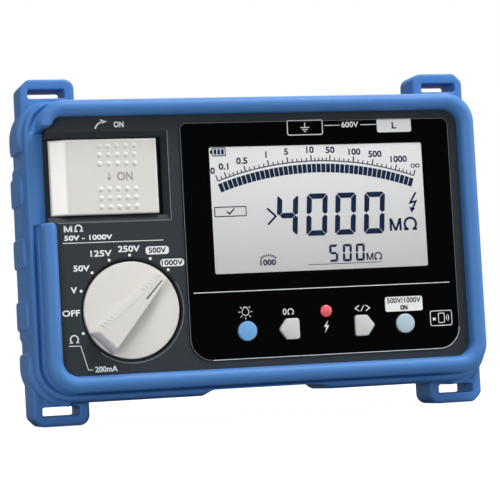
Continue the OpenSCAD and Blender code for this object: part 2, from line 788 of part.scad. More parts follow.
// Main circuit board, notched round the screw bosses and drilled for the switch shaft
module main_board() color("#1f5c3a") upright() {
    notch_x = boss_x - boss_r - 0.6;
    notch_y = boss_y - boss_r - 0.6;
    half_w = case_w / 2 - wall - 1;
    half_h = case_h / 2 - wall - 1;
    difference() {
        block([-half_w, -half_h, -board_z - board_t], [half_w, half_h, -board_z]);
        for (x = [0, 1], y = [0, 1]) mirror([x, 0, 0]) mirror([0, y, 0])
            block([notch_x, notch_y, -board_z - board_t - past], [case_w, case_h, past]);
        post(knob_x, knob_y, pilot_r + run, -board_z - board_t - past, past);
        for (p = posts) post(p.x, p.y, post_screw_r + free, -board_z - board_t - past, past);
    }
}

// The four screws that hold the board to its posts
module board_screws() color(steel) upright()
    for (p = posts) {
        post(p.x, p.y, post_screw_r, -board_z - board_t - eps, -board_z + post_screw_l);
        post(p.x, p.y, post_head_r, -board_z - board_t - post_head_h, -board_z - board_t);
    }

// Red high-voltage lamp on its two legs
module warning_led() color("#d83a44") upright() translate([fascia_x, led_y, 0]) {
    barrel_z = fascia_proud + 0.2;
    foot_t = 2;
    foot_out = 0.5;
    leg_x = 1.27;
    leg_r = 0.3;
    post(0, 0, led_d / 2, -panel_t - foot_t, barrel_z);
    translate([0, 0, barrel_z])
        rotate_extrude() intersection() {
            translate([0, -led_d]) circle(r = norm([led_d, led_d / 2]));
            square([led_d / 2, led_d]);
        }
    post(0, 0, led_d / 2 + foot_out, -panel_t - foot_t, -panel_t);
    for (x = [-1, 1]) post(x * leg_x, 0, leg_r, -board_z, -panel_t - foot_t + eps);
}

// One button: cap, flange under the panel, and stem over its switch
module button(i, tint) color(tint) upright() {
    translate([0, 0, -flange_z - eps]) linear_extrude(flange_z + eps + fascia_proud + button_proud)
        button_outline(i, 0);
    translate([0, 0, -flange_z - flange_t]) linear_extrude(flange_t) button_outline(i, flange);
    post(fascia_x + button_xs[i], button_y, stem_r, -stem_low, -flange_z - flange_t + eps);
}

// Round blue button of the display light
module backlight_button() button(0, "#6ca1d3");

// Pointed button that sets zero ohms
module zero_adjust_button() button(1, "#bec0bd");

// Pointed button of the comparator
module comparator_button() button(2, "#bec0bd");

// Round button that frees the two highest ranges
module release_button() button(3, "#a8bcc6");

// Push switches on the board, one under each button
module tact_switches() color("#2a2a2c") upright()
    for (x = button_xs) translate([fascia_x + x, button_y, 0]) {
        block([-tact_s / 2, -tact_s / 2, -board_z], [tact_s / 2, tact_s / 2, -board_z + tact_h]);
        post(0, 0, tact_tip_r, -board_z + tact_h - eps, -board_z + tact_h + tact_tip);
    }

// Section of the lever's cap: flat top, slope at the lifting end, thin wall
module lever_section() {
    low = lever_top - bevel_drop - lever_lip;
    polygon([
        [lever_x0, low], [lever_x0, lever_top - bevel_drop], [lever_x0 + bevel_w, lever_top],
        [lever_x1 - lever_edge, lever_top], [lever_x1, lever_top - lever_edge],
        [lever_x1, lever_top - lever_t], [lever_x0 + bevel_w + lever_lip, lever_top - lever_t],
        [lever_x0 + lever_lip, low]
    ]);
}

// Ivory measuring lever with its finger domes, hinge barrel and plunger
module measure_lever() color(ivory) upright() {
    y0 = lever_y - lever_h / 2;
    y1 = lever_y + lever_h / 2;
    skirt = 1.4;
    skirt_low = -3.2;
    difference() {
        union() {
            along_y(y0, y1) lever_section();
            for (y = [y0, y1 - skirt])
                block([lever_x0 + bevel_w, y, skirt_low],
                      [lever_x1 - 2 * skirt, y + skirt, lever_top - lever_t + eps]);
            pin_y(hinge_x, hinge_z, hinge_r, y0, y1);
            block([hinge_x - hinge_r, y0, hinge_z],
                  [hinge_x + hinge_r - lever_edge, y1, lever_top - lever_t + eps]);
            block([plunger_x - plunger_w / 2, lever_y - plunger_w / 2, -plunger_low],
                  [plunger_x + plunger_w / 2, lever_y + plunger_w / 2, lever_top - lever_t + eps]);
            finger_domes();
        }
        pin_y(hinge_x, hinge_z, pin_d / 2 + run, y0 - past, y1 + past);
    }
}

// Rows of low domes that the fingertip feels
module finger_domes() {
    cap_h = 0.5;
    ball_r = (pow(dome_d / 2, 2) + pow(cap_h, 2)) / (2 * cap_h);
    dome_x = lever_x1 - 9 - 4 * dome_pitch;
    for (i = [0:4], j = [0:2], s = [-1, 1])
        translate([dome_x + i * dome_pitch, lever_y + s * (5 + j * dome_pitch), lever_top])
            intersection() {
                translate([0, 0, cap_h - ball_r]) sphere(ball_r);
                cylinder(r = dome_d, h = ball_r);
            }
}

// Steel hinge pin of the lever
module lever_pin() color(steel) upright()
    pin_y(hinge_x, hinge_z, pin_d / 2, lever_y - lever_h / 2 - well_gap - ear + past + seat,
          lever_y + lever_h / 2 + well_gap + ear - past - seat);

// Switch on the board under the lever's plunger
module lever_switch() color("#2a2a2c") upright() translate([plunger_x, lever_y, 0]) {
    body_h = 0.6;
    tip_h = 0.3;
    block([-tact_s / 2, -tact_s / 2, -board_z], [tact_s / 2, tact_s / 2, -board_z + body_h]);
    post(0, 0, tact_tip_r, -board_z + body_h - eps, -board_z + body_h + tip_h);
}

// Directions of the grip bar: it points up and to the right at rest
module along_bar() translate([knob_x, knob_y, 0]) rotate(45) children();

// Grip bar, wide at the tail and narrow at the tip, with sloped sides and a round top edge
module grip_bar() {
    tail = -knob_d / 2 + tail_margin;
    tip = knob_d / 2 - tip_margin;
    draft = 0.9;
    edge = 0.8;
    core_r = 0.1;
    skin = 0.02;
    hull() for (layer = [[disc_top - past, edge + draft], [bar_rise - edge, edge],
                         [bar_rise - edge / 4, edge / 2], [bar_rise - skin, 0]])
        translate([0, 0, layer[0]]) for (s = [-1, 1]) {
            translate([tail + edge, s * (bar_tail_w / 2 - edge)])
                cylinder(r = layer[1] + core_r, h = skin, $fn = 32);
            translate([tip - edge, s * (bar_tip_w / 2 - edge)])
                cylinder(r = layer[1] + core_r, h = skin, $fn = 32);
        }
}

// Slit that marks the chosen range, near the tip of the bar
module index_slit(gap)
    along_bar() block([slit_x - gap, -slit_w / 2 - gap, bar_rise - slit_depth - gap],
                      [knob_d / 2 - tip_margin - slit_w + gap, slit_w / 2 + gap, bar_rise + past]);

// Ivory range knob: disc with rounded rim, grip bar and blind hole for the shaft
module range_knob() color(ivory) upright()
    difference() {
        union() {
            translate([knob_x, knob_y, 0]) rotate_extrude() {
                translate([0, -disc_low]) square([knob_d / 2, disc_low + disc_top - disc_edge]);
                translate([0, -disc_low]) square([knob_d / 2 - disc_edge, disc_low + disc_top]);
                translate([knob_d / 2 - disc_edge, disc_top - disc_edge]) circle(disc_edge);
            }
            along_bar() grip_bar();
        }
        post(knob_x, knob_y, shaft_d / 2 + run, -disc_low - past, shaft_top + seat);
        index_slit(0);
    }

// Dark inlay in the knob's slit
module knob_index() color(black) upright()
    intersection() {
        index_slit(-seat / 2);
        post(knob_x, knob_y, knob_d, -past, bar_rise - inlay_sink);
    }

// Shaft from the knob through the panel, with a pilot end in the board
module switch_shaft() color(steel) upright() {
    post(knob_x, knob_y, shaft_d / 2, -rotor_z - rotor_t, shaft_top);
    post(knob_x, knob_y, pilot_r, -board_z - board_t - rotor_gap, -rotor_z - rotor_t + eps);
}

// Disc of the rotary switch that carries the wipers
module switch_rotor() color("#3a3c3e") upright()
    translate([knob_x, knob_y, 0]) difference() {
        post(0, 0, rotor_r, -rotor_z - rotor_t, -rotor_z);
        post(0, 0, shaft_d / 2 + run, -rotor_z - rotor_t - past, past);
        for (a = [45:90:315]) rotate(a)
            post(rotor_r * 0.62, 0, rotor_hole_r, -rotor_z - rotor_t - past, past);
    }

// Sprung contact strips under the rotor
module wiper_contacts() color(brass) upright() {
    strip_x = 4;
    strip_w = 2.4;
    strip_t = 0.4;
    tip = 1.2;
    lift = 0.2;
    strip_z = -rotor_z - rotor_t - strip_t;
    translate([knob_x, knob_y, 0]) for (a = [0:90:270]) rotate(a) {
        block([strip_x, -strip_w / 2, strip_z], [rotor_r - past, strip_w / 2, strip_z + strip_t]);
        for (x = [strip_x + 2 * tip, rotor_r - 2 * tip])
            block([x - tip / 2, -tip, -board_z + lift], [x + tip / 2, tip, strip_z + eps]);
    }
}

// Notched ring under the knob's recess that gives the clicks
module detent_ring() color("#d8d8d4") upright()
    translate([knob_x, knob_y, 0]) difference() {
        post(0, 0, ring_r, -cup_z - ring_t, -cup_z);
        post(0, 0, ring_in, -cup_z - ring_t - past, past);
        for (i = [0:clicks - 1]) rotate(i * 360 / clicks + 45)
            post(ring_in, 0, notch_r, -cup_z - ring_t - past, past);
    }

// Two-armed leaf whose noses ride in the notches
module detent_spring() color(steel) upright() {
    nose_r = notch_r * 0.8;
    nose_x = ring_in - free - nose_r;
    leaf_w = 2.8;
    leaf_t = 0.5;
    hub_r = shaft_d / 2 + 1.6;
    translate([knob_x, knob_y, 0]) rotate(45) difference() {
        union() {
            block([-nose_x, -leaf_w / 2, -rotor_z], [nose_x, leaf_w / 2, -rotor_z + leaf_t]);
            post(0, 0, hub_r, -rotor_z, -rotor_z + leaf_t);
            for (s = [-1, 1]) post(s * nose_x, 0, nose_r, -rotor_z, -cup_z - rotor_gap);
        }
        post(0, 0, shaft_d / 2 + run, -rotor_z - past, past);
    }
}

// Black block that carries the two measuring sockets in the top of the case
module terminal_block() color("#161618") upright()
    difference() {
        block([socket_x - block_w / 2, block_y0, -split_z - block_d / 2],
              [socket_x + block_w / 2, case_h / 2, -split_z + block_d / 2]);
        for (s = [-1, 1]) {
            pin_y(socket_x + s * socket_pitch / 2, -split_z, shroud_d / 2, shroud_low, case_h / 2 + past);
            pin_y(socket_x + s * socket_pitch / 2, -split_z, sleeve_r + run, block_y0 - past,
                  case_h / 2 + past);
        }
    }

// One socket: brass sleeve with a blind bore for the plug, standing in its round well
module socket(side) color(brass) upright()
    difference() {
        pin_y(socket_x + side * socket_pitch / 2, -split_z, sleeve_r, block_y0 - socket_tail, socket_top);
        pin_y(socket_x + side * socket_pitch / 2, -split_z, socket_bore, socket_top - socket_depth,
              socket_top + past);
    }

// Socket of the earth lead
module earth_socket() socket(-1);

// Socket of the line probe
module line_socket() socket(1);

// Transformer of the high-voltage supply: coil between two core halves on a bobbin foot
module hv_transformer() color("#3d3a36") upright()
    translate([knob_x - supply_shift, knob_y + supply_rise, -board_z - board_t]) {
        core_x = 9;
        core_y = 8;
        core_h = 16;
        leg = 4;
        yoke = 2;
        foot = 1;
        coil_r = 5.5;
        for (x = [-core_x, core_x - leg]) block([x, -core_y, -core_h], [x + leg, core_y, -foot]);
        block([-core_x, -core_y, -core_h], [core_x, core_y, -core_h + yoke]);
        block([-core_x + yoke, -core_y + yoke, -foot - eps], [core_x - yoke, core_y - yoke, 0]);
        translate([-core_x + leg - eps, 0, -core_h / 2 + foot / 2]) rotate([0, 90, 0])
            cylinder(r = coil_r, h = 2 * (core_x - leg + eps));
    }

// Film capacitors of the high-voltage supply
module hv_capacitors() color("#a8742c") upright()
    for (i = [1, 2])
        translate([knob_x + i * (film_t + film_gap), knob_y + supply_rise, -board_z - board_t - film_h / 2])
            cube([film_t, film_w, film_h], center = true);

// Relay that discharges the tested circuit
module relay() color("#e6e3da") upright()
    translate([knob_x, lever_y, -board_z - board_t - relay_h / 2])
        cube([relay_l, relay_w, relay_h], center = true);

// Sounder on the board, open to the back
module buzzer() color("#1c1c1e") upright() {
    can_h = 6;
    hole_r = 1;
    translate([knob_x + relay_l / 2 + buzzer_gap + buzzer_r, lever_y + supply_rise, -board_z - board_t])
        difference() {
            post(0, 0, buzzer_r, -can_h, 0);
            post(0, 0, hole_r, -can_h - past, -can_h + past);
        }
}

// One cell in the bay, with its raised contact; every other cell is turned round
module cell(i) color(i % 2 ? "#b9bcc0" : "#8f9499") upright() {
    x = bay_x + (i - (cells - 1) / 2) * cell_pitch;
    turn = i % 2 ? -1 : 1;
    nub_r = 2.7;
    nub_h = 1.2;
    translate([x, bay_y, -cell_z]) rotate([-90 * turn, 0, 0]) {
        translate([0, 0, -cell_l / 2]) cylinder(r = cell_d / 2, h = cell_l - nub_h);
        cylinder(r = nub_r, h = cell_l / 2);
    }
}

// The cells of the battery, from left to right
module battery_1() cell(0);
module battery_2() cell(1);
module battery_3() cell(2);
module battery_4() cell(3);

// Sprung contact plates at both ends of every cell
module battery_contacts() color(steel) upright()
    for (i = [0:cells - 1], s = [-1, 1]) {
        x = bay_x + (i - (cells - 1) / 2) * cell_pitch;
        end = bay_l / 2;
        half = 5;
        sheet_t = 0.5;
        nose = 2.2;
        translate([x, bay_y, -cell_z]) mirror([0, s < 0 ? 1 : 0, 0]) {
            block([-half, end - sheet_t, -half], [half, end, half]);
            block([-nose, end - bay_end + seat, -nose], [nose, end - sheet_t + eps, nose]);
        }
    }

protector();
front_case();
rear_case();
battery_cover();
battery_cover_screws();
case_screws();
fascia_plate();
lcd_window();
lcd_panel();
backlight_panel();
lcd_frame();
lcd_connector();
main_board();
board_screws();
warning_led();
backlight_button();
zero_adjust_button();
comparator_button();
release_button();
tact_switches();
measure_lever();
lever_pin();
lever_switch();
range_knob();
knob_index();
switch_shaft();
switch_rotor();
wiper_contacts();
detent_ring();
detent_spring();
terminal_block();
earth_socket();
line_socket();
hv_transformer();
hv_capacitors();
relay();
buzzer();
battery_1();
battery_2();
battery_3();
battery_4();
battery_contacts();
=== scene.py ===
from math import radians

import bmesh
import bpy
import numpy as np
from mathutils import Matrix, Vector


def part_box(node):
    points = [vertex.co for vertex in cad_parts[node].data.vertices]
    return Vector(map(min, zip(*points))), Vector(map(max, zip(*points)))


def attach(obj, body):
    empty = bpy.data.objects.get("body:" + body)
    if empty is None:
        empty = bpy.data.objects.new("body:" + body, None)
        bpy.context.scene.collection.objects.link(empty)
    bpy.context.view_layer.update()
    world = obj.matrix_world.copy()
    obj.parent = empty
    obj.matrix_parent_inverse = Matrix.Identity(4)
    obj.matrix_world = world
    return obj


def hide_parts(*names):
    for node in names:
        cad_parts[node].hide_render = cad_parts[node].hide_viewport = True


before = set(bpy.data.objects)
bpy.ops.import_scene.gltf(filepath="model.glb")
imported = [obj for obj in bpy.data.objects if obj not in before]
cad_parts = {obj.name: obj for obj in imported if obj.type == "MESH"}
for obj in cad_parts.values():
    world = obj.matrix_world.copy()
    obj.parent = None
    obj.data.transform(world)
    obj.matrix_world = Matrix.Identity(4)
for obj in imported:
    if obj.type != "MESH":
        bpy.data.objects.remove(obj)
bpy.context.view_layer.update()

# Panel frame
# Sizes below are millimetres in the panel's own frame: x right, y up and z out of the panel,
# from the middle of the panel's face, which the front half of the case gives.
per_metre = 1000
case_lo, case_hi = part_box("front_case")
half_w = (case_hi.x - case_lo.x) / 2 * per_metre
half_h = (case_hi.z - case_lo.z) / 2 * per_metre
middle = Vector((0, case_lo.y, (case_lo.z + case_hi.z) / 2))


def to_world(points):
    """World metres of panel points: (x, y, z) mm goes to middle + (x, -z, y) / 1000."""
    x, y, z = np.moveaxis(np.asarray(points, float), -1, 0)
    return np.stack([x, -z, y], -1) / per_metre + np.array(middle)


def panel_box(node):
    """Lowest and highest corner of a CAD node in panel mm: world (x, y, z) goes to (x, z, -y) * 1000."""
    lo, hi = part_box(node)
    a, b = ((np.array(v) - np.array(middle)) * per_metre for v in (lo, hi))
    return np.array([a[0], a[2], -b[1]]), np.array([b[0], b[2], -a[1]])


# Rear case
# Rear half of the hard case, moulded in charcoal plastic with a fine spark-eroded grain. Four
# screws pull it to the front half, and its back plate holds the battery bay.
def linear(r, g, b):
    """Linear colour of 8-bit display values: ((c + 0.055) / 1.055) ** 2.4, or c / 12.92 when dark."""
    c = np.array([r, g, b]) / 255
    return tuple(np.where(c > 0.04045, ((c + 0.055) / 1.055) ** 2.4, c / 12.92)) + (1.0,)


def grain_group():
    """Shader group for moulded surfaces: noise n turns the colour and the gloss by the factor
    1 + mottle (n - 0.5), and is put out as a height too."""
    group = bpy.data.node_groups.new("grain", "ShaderNodeTree")
    sockets = group.interface
    for name, kind in (("Color", "NodeSocketColor"), ("Roughness", "NodeSocketFloat"),
                       ("Scale", "NodeSocketFloat"), ("Mottle", "NodeSocketFloat")):
        sockets.new_socket(name, in_out="INPUT", socket_type=kind)
    for name, kind in (("Color", "NodeSocketColor"), ("Roughness", "NodeSocketFloat"),
                       ("Height", "NodeSocketFloat")):
        sockets.new_socket(name, in_out="OUTPUT", socket_type=kind)
    node, link = group.nodes.new, group.links.new
    given, made = node("NodeGroupInput"), node("NodeGroupOutput")
    place, noise = node("ShaderNodeTexCoord"), node("ShaderNodeTexNoise")
    noise.inputs["Detail"].default_value = 3
    link(place.outputs["Object"], noise.inputs["Vector"])
    link(given.outputs["Scale"], noise.inputs["Scale"])
    swing = node("ShaderNodeMath")
    swing.operation = "MULTIPLY_ADD"
    link(noise.outputs["Fac"], swing.inputs[0])
    link(given.outputs["Mottle"], swing.inputs[1])
    level = node("ShaderNodeMath")
    level.operation = "MULTIPLY_ADD"
    level.inputs[1].default_value = -0.5
    level.inputs[2].default_value = 1
    link(given.outputs["Mottle"], level.inputs[0])
    link(level.outputs[0], swing.inputs[2])
    tint = node("ShaderNodeVectorMath")
    tint.operation = "SCALE"
    link(given.outputs["Color"], tint.inputs[0])
    link(swing.outputs[0], tint.inputs["Scale"])
    gloss = node("ShaderNodeMath")
    gloss.operation = "MULTIPLY"
    link(given.outputs["Roughness"], gloss.inputs[0])
    link(swing.outputs[0], gloss.inputs[1])
    link(tint.outputs[0], made.inputs["Color"])
    link(gloss.outputs[0], made.inputs["Roughness"])
    link(noise.outputs["Fac"], made.inputs["Height"])
    return group


grain = grain_group()


def moulded(name, rgb, roughness, scale=2500.0, mottle=0.12, relief=0.0, metallic=0.0, shine=0.5):
    """Material of one moulded or metal surface: grain colour and gloss, and a bump of `relief` mm."""
    material = bpy.data.materials.new(name)
    material.use_nodes = True
    tree = material.node_tree
    surface = tree.nodes["Principled BSDF"]
    surface.inputs["Metallic"].default_value = metallic
    surface.inputs["Specular IOR Level"].default_value = shine
    pattern = tree.nodes.new("ShaderNodeGroup")
    pattern.node_tree = grain
    pattern.inputs["Color"].default_value = linear(*rgb)
    pattern.inputs["Roughness"].default_value = roughness
    pattern.inputs["Scale"].default_value = scale
    pattern.inputs["Mottle"].default_value = mottle
    tree.links.new(pattern.outputs["Color"], surface.inputs["Base Color"])
    tree.links.new(pattern.outputs["Roughness"], surface.inputs["Roughness"])
    if relief:
        bump = tree.nodes.new("ShaderNodeBump")
        bump.inputs["Strength"].default_value = 1
        bump.inputs["Distance"].default_value = relief / per_metre
        tree.links.new(pattern.outputs["Height"], bump.inputs["Height"])
        tree.links.new(bump.outputs["Normal"], surface.inputs["Normal"])
    return material


def dress(material, *nodes):
    """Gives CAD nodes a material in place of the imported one."""
    for name in nodes:
        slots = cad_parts[name].data.materials
        slots.clear()
        slots.append(material)


charcoal = moulded("charcoal", (46, 52, 57), 0.6, scale=1700, mottle=0.6, relief=0.03, shine=0.2)
steel = moulded("zinc_steel", (185, 188, 192), 0.32, scale=900, mottle=0.25, metallic=1)
dress(charcoal, "rear_case")
dress(steel, "case_screws")

# Batteries
# Four AA cells in the bay of the rear case, between sprung steel plates, under a lift-off lid
# that two countersunk screws hold.
cell_sleeve = moulded("cell_sleeve", (92, 98, 104), 0.35, scale=300, mottle=0.15, metallic=0.6)
dress(cell_sleeve, "battery_1", "battery_2", "battery_3", "battery_4")
dress(steel, "battery_contacts", "battery_cover_screws")
dress(charcoal, "battery_cover")

# Circuit board
# Glass-fibre board that carries the display frame, the switches and the high-voltage supply,
# screwed to four posts of the front half.
black_plastic = moulded("black_plastic", (24, 24, 26), 0.5, scale=1500, mottle=0.2)
brass = moulded("brass", (200, 164, 85), 0.28, scale=900, mottle=0.25, metallic=1)
white_plastic = moulded("white_plastic", (228, 226, 218), 0.45, scale=1500, mottle=0.06)
dress(moulded("solder_mask", (31, 92, 58), 0.38, scale=500, mottle=0.3), "main_board")
dress(steel, "board_screws", "switch_shaft", "detent_spring")
# painted shade: the lever's hinge pin is coloured near black so that it reads as dark as the shaded gap
# beside it
dress(moulded("dark_pin_steel", (30, 31, 33), 0.45, scale=900, mottle=0.2, metallic=0.6), "lever_pin")
dress(black_plastic, "tact_switches", "lever_switch", "buzzer", "switch_rotor")
dress(brass, "wiper_contacts")
dress(white_plastic, "relay", "detent_ring", "backlight_panel", "lcd_frame")
dress(moulded("ferrite", (61, 58, 54), 0.6, scale=700, mottle=0.4), "hv_transformer")
dress(moulded("dipped_film", (168, 116, 44), 0.25, scale=400, mottle=0.15), "hv_capacitors")
dress(moulded("strip_rubber", (92, 95, 97), 0.7, scale=1800, mottle=0.3), "lcd_connector")

# Terminals
# Black insulating block in the top edge with two turned brass sockets for sleeved 4 mm plugs. It
# lies across the joint of the case, and the two halves clamp it.
dress(black_plastic, "terminal_block")
dress(brass, "earth_socket", "line_socket")

# Front case
# Front half of the hard case in the same charcoal plastic: the panel with the knob's recess,
# the lever's well and the pocket that the display plate is glued into.
dress(charcoal, "front_case")

# Protector
# Blue elastomer boot pulled over the hard case. A round bead runs about the panel, a groove
# parts it from the rear band with its grip pads, and four strap loops stand at the corners.
def grid_quads(rows, cols, wrap_rows=False, wrap_cols=False):
    """Corner indices of the cells of a rows by cols grid of points that is numbered row by row."""
    i = np.arange(rows if wrap_rows else rows - 1)[:, None]
    j = np.arange(cols if wrap_cols else cols - 1)[None, :]
    up, along = (i + 1) % rows, (j + 1) % cols
    corners = (i * cols + j, up * cols + j, up * cols + along, i * cols + along)
    return np.stack(np.broadcast_arrays(*corners), -1).reshape(-1, 4)


def outward(points, quads):
    """Quads turned to face outwards: their signed volume sum(a . (b x c)) / 6 is made positive."""
    a, b, c, d = (points[quads[:, k]] for k in range(4))
    volume = np.sum(a * np.cross(b, c)) + np.sum(a * np.cross(c, d))
    return quads if volume > 0 else quads[:, ::-1]


def piece(name, shells, material, sharp):
    """One object from shells of panel points and quads, welded, smooth up to `sharp` degrees."""
    points, quads, count, weld = [], [], 0, 2e-7
    for shell_points, shell_quads in shells:
        flat = np.asarray(shell_points, float).reshape(-1, 3)
        quads.append(outward(flat, np.asarray(shell_quads)) + count)
        points.append(flat)
        count += len(flat)
    corners = to_world(np.concatenate(points))
    faces = np.concatenate(quads)
    mesh = bpy.data.meshes.new(name)
    mesh.from_pydata(corners.tolist(), [], faces.tolist())
    work = bmesh.new()
    work.from_mesh(mesh)
    bmesh.ops.remove_doubles(work, verts=work.verts, dist=weld)
    work.to_mesh(mesh)
    work.free()
    mesh.materials.append(material)
    mesh.shade_smooth()
    mesh.set_sharp_from_angle(angle=radians(sharp))
    thing = bpy.data.objects.new(name, mesh)
    bpy.context.scene.collection.objects.link(thing)
    return thing


def arc(x, y, r, start, stop, count):
    """Points (x + r cos a, y + r sin a) for `count` angles from start to stop, in degrees."""
    a = np.radians(np.linspace(start, stop, count))
    return np.stack([x + r * np.cos(a), y + r * np.sin(a)], -1)


def step(x, a, b):
    """Smooth step 3 t^2 - 2 t^3 from 0 at a to 1 at b."""
    t = np.clip((x - a) / (b - a), 0, 1)
    return t * t * (3 - 2 * t)


boot_lo, boot_hi = panel_box("protector")
lever_lo, lever_hi = panel_box("measure_lever")
block_lo, block_hi = panel_box("terminal_block")
# offsets outwards from the case's sides, with `track` for the line on which places are measured
lip, case_side, track, bead, band = -2.4, 0.1, 0.9, 4.0, 7.2
back, outer_from, panel_clear, hair = -boot_lo[2], 3, 0.02, 1e-6
# sides are numbered counter-clockwise, with the corners between them; corner radii at one offset and
# their gain per mm outwards start at the upper right
right_side, top_side, left_side, low_side = 0, 2, 4, 6
corner_at = -2.2
corner_r = np.array([6.5, 4.5, 6.5, 6.5])
corner_grow = np.array([0.85, 1.15, 0.85, 0.85])
# the hole about the terminals and the gap in the bead beside the lever
hole_clear = 0.3
hole_x = (block_lo[0] - hole_clear, block_hi[0] + hole_clear)
hole_z = (block_hi[2] + hole_clear, block_lo[2] - hole_clear)
gap_y = (lever_lo[1] - 2.3, lever_hi[1] + 4.1)
end_high, end_wide = 1.4, 3.1
shoulder_z, shoulder_wide, shoulder_rise, shoulder_crown = -7.0, 5.0, 0.42, 0.35
# grip pads on both sides and at the corners, then the swelling, skirts, arch and upper edge of the band
pad_y, pad_z = (-24.5, 0.0, 24.5), (-11.0, -31.5)
pad_half, pad_r, pad_rise, pad_slope = 5.8, 2.0, 0.9, 0.3
pad_edge = np.array([-0.5, -0.25, 0.0, 0.25, 0.5, 0.9, 1.4, 2.2])
corner_pad_x, corner_pad_y = 80, 39.5
corner_pad_r, corner_pad_rise, corner_pad_slope = 2.5, 2.0, 0.5
swell, swell_y, swell_front, swell_back = 1.4, (36, 33), (-8, -14), (-37.5, -31)
skirt, skirt_x, skirt_front, skirt_back = 0.8, (21.5, 27), (-7, -11), (-37.5, -33)
arch, arch_x, web_wide, web_taper = 0.97, (26, 21.5), 6.1, 0.058
top_wide, top_sink = 3.7, 0.75


def boot_outline(side, t, d):
    """Points of the case outline moved out by d. Even sides are straight, from -1 to 1 in t, and
    odd ones are corner arcs of radius r0 + g (d - d0), from 0 to 90 degrees."""
    r = corner_r[:, None, None] + corner_grow[:, None, None] * (d - corner_at)
    w, h = half_w + d, half_h + d
    reach = [(w - r[k], h - r[k]) for k in range(4)]
    x, y = np.zeros_like(d), np.zeros_like(d)
    signs = ((1, 1), (-1, 1), (-1, -1), (1, -1))
    for k, (sx, sy) in enumerate(signs):
        corner = side == 2 * k + 1
        a = np.radians(90 * (t + k))
        x = np.where(corner, sx * reach[k][0] + r[k] * np.cos(a), x)
        y = np.where(corner, sy * reach[k][1] + r[k] * np.sin(a), y)
    f = (t + 1) / 2
    tr, tl, bl, br = reach
    x = np.where(side == right_side, w, np.where(side == left_side, -w, x))
    y = np.where(side == top_side, h, np.where(side == low_side, -h, y))
    y = np.where(side == right_side, -br[1] + f * (tr[1] + br[1]), y)
    x = np.where(side == top_side, tr[0] - f * (tl[0] + tr[0]), x)
    y = np.where(side == left_side, tl[1] - f * (tl[1] + bl[1]), y)
    x = np.where(side == low_side, -bl[0] + f * (bl[0] + br[0]), x)
    return x, y


def boot_stations():
    """Sides and parameters of the sections along the boot, closer where pads and ends need it."""
    pads = [y + s * (pad_half - pad_edge) for y in pad_y for s in (-1, 1)]
    end = np.concatenate([corner_pad_y - pad_edge, np.linspace(*swell_y, 5)])
    pads = np.concatenate([*pads, end, -end])
    closer = 3.3 * np.linspace(0, 1, 19) ** 2
    gap = np.concatenate([gap_y[0] - closer, gap_y[1] + closer])
    arch_end = np.array([21, 22, 23, 24, 25, 26, 28, 29])
    level = {right_side: np.concatenate([np.linspace(-44, 44, 30), pads]),
             top_side: np.concatenate([np.linspace(-78, 78, 44), hole_x, hole_x]),
             left_side: np.concatenate([np.linspace(-44, 45, 30), pads, gap[gap < 45.5]]),
             low_side: np.concatenate([np.linspace(-78, 78, 44), -arch_end, arch_end])}
    side, t = [], []
    for k in range(8):
        if k % 2:
            values = np.linspace(0, 1, 46)[1:-1]
        else:
            at = np.array([[-1.0], [1.0]])
            x, y = boot_outline(np.full((2, 1), k), at, np.full((2, 1), track))
            first, last = (y if k in (right_side, left_side) else x)[:, 0]
            values = np.sort((level[k] - first) / (last - first) * 2 - 1)
            values = np.concatenate([[-1.0], values[(values > -1) & (values < 1)], [1.0]])
        side.append(np.full(len(values), k))
        t.append(values)
    return np.concatenate(side)[:, None], np.concatenate(t)[:, None]


def boot_section():
    """Closed section of the boot as (d outwards, z): lip, bead, groove, band, back and inside."""
    plain = [-9.5, -15.5, -18, -20, -22, -24.5, -32.6, -33.6, -34.6]
    levels = np.concatenate([pad_z[0] - pad_edge, pad_z[1] + pad_edge, np.repeat(hole_z, 2), plain])
    levels = np.sort(levels)[::-1]
    wall = np.stack([np.full(len(levels), band), levels], -1)
    inner = np.stack([np.full(len(levels), case_side), levels[::-1]], -1)
    bead_z, bead_r, groove_r, shoulder_r = 2.4, (bead - lip) / 2, 1.4, 1.6
    neck = [[3.95, 0.9], [3.8, -0.6], [3.5, -2.0], [3.05, -3.3], [2.5, -4.5]]
    front = np.concatenate([
        [[lip, panel_clear], [lip, bead_z / 2]], arc(lip + bead_r, bead_z, bead_r, 180, 0, 19),
        neck, arc(3.6, -6.5, groove_r, 150, 345, 12)])
    back_r, rim_d, rim_z, rim_r = 3.0, -5.0, -36.27, 0.5
    rear = np.concatenate([
        arc(band - shoulder_r, -8.2, shoulder_r, 105, 0, 9), wall,
        arc(band - back_r, back_r - back, back_r, 0, -90, 8), [[2, -back], [-2, -back]],
        arc(rim_d + rim_r, rim_r - back, rim_r, 270, 180, 4),
        [[rim_d, rim_z], [-2, rim_z], [case_side, rim_z]], inner])
    under = [[case_side, z] for z in (-7.2, -5, -2.5, -0.6)] + [[0.0, panel_clear], [-1.1, panel_clear]]
    return front, rear, np.array(under)


def round_end(way, length):
    """A quarter round sqrt(1 - (1 - s)^2) from 0 at way = 0 to 1 at way = length, where s = way / length."""
    s = np.clip(way / length, 0, 1)
    return np.sqrt(np.clip(1 - (1 - s) ** 2, 0, 1))


def off_box(u, v, r):
    """Distance to a box with corners of radius r, less than 0 inside, where u and v are the ways out
    past its sides: |max(w, 0)| + min(max(w), 0) - r with w = (u + r, v + r)."""
    u, v = u + r, v + r
    return np.hypot(np.maximum(u, 0), np.maximum(v, 0)) + np.minimum(np.maximum(u, v), 0) - r


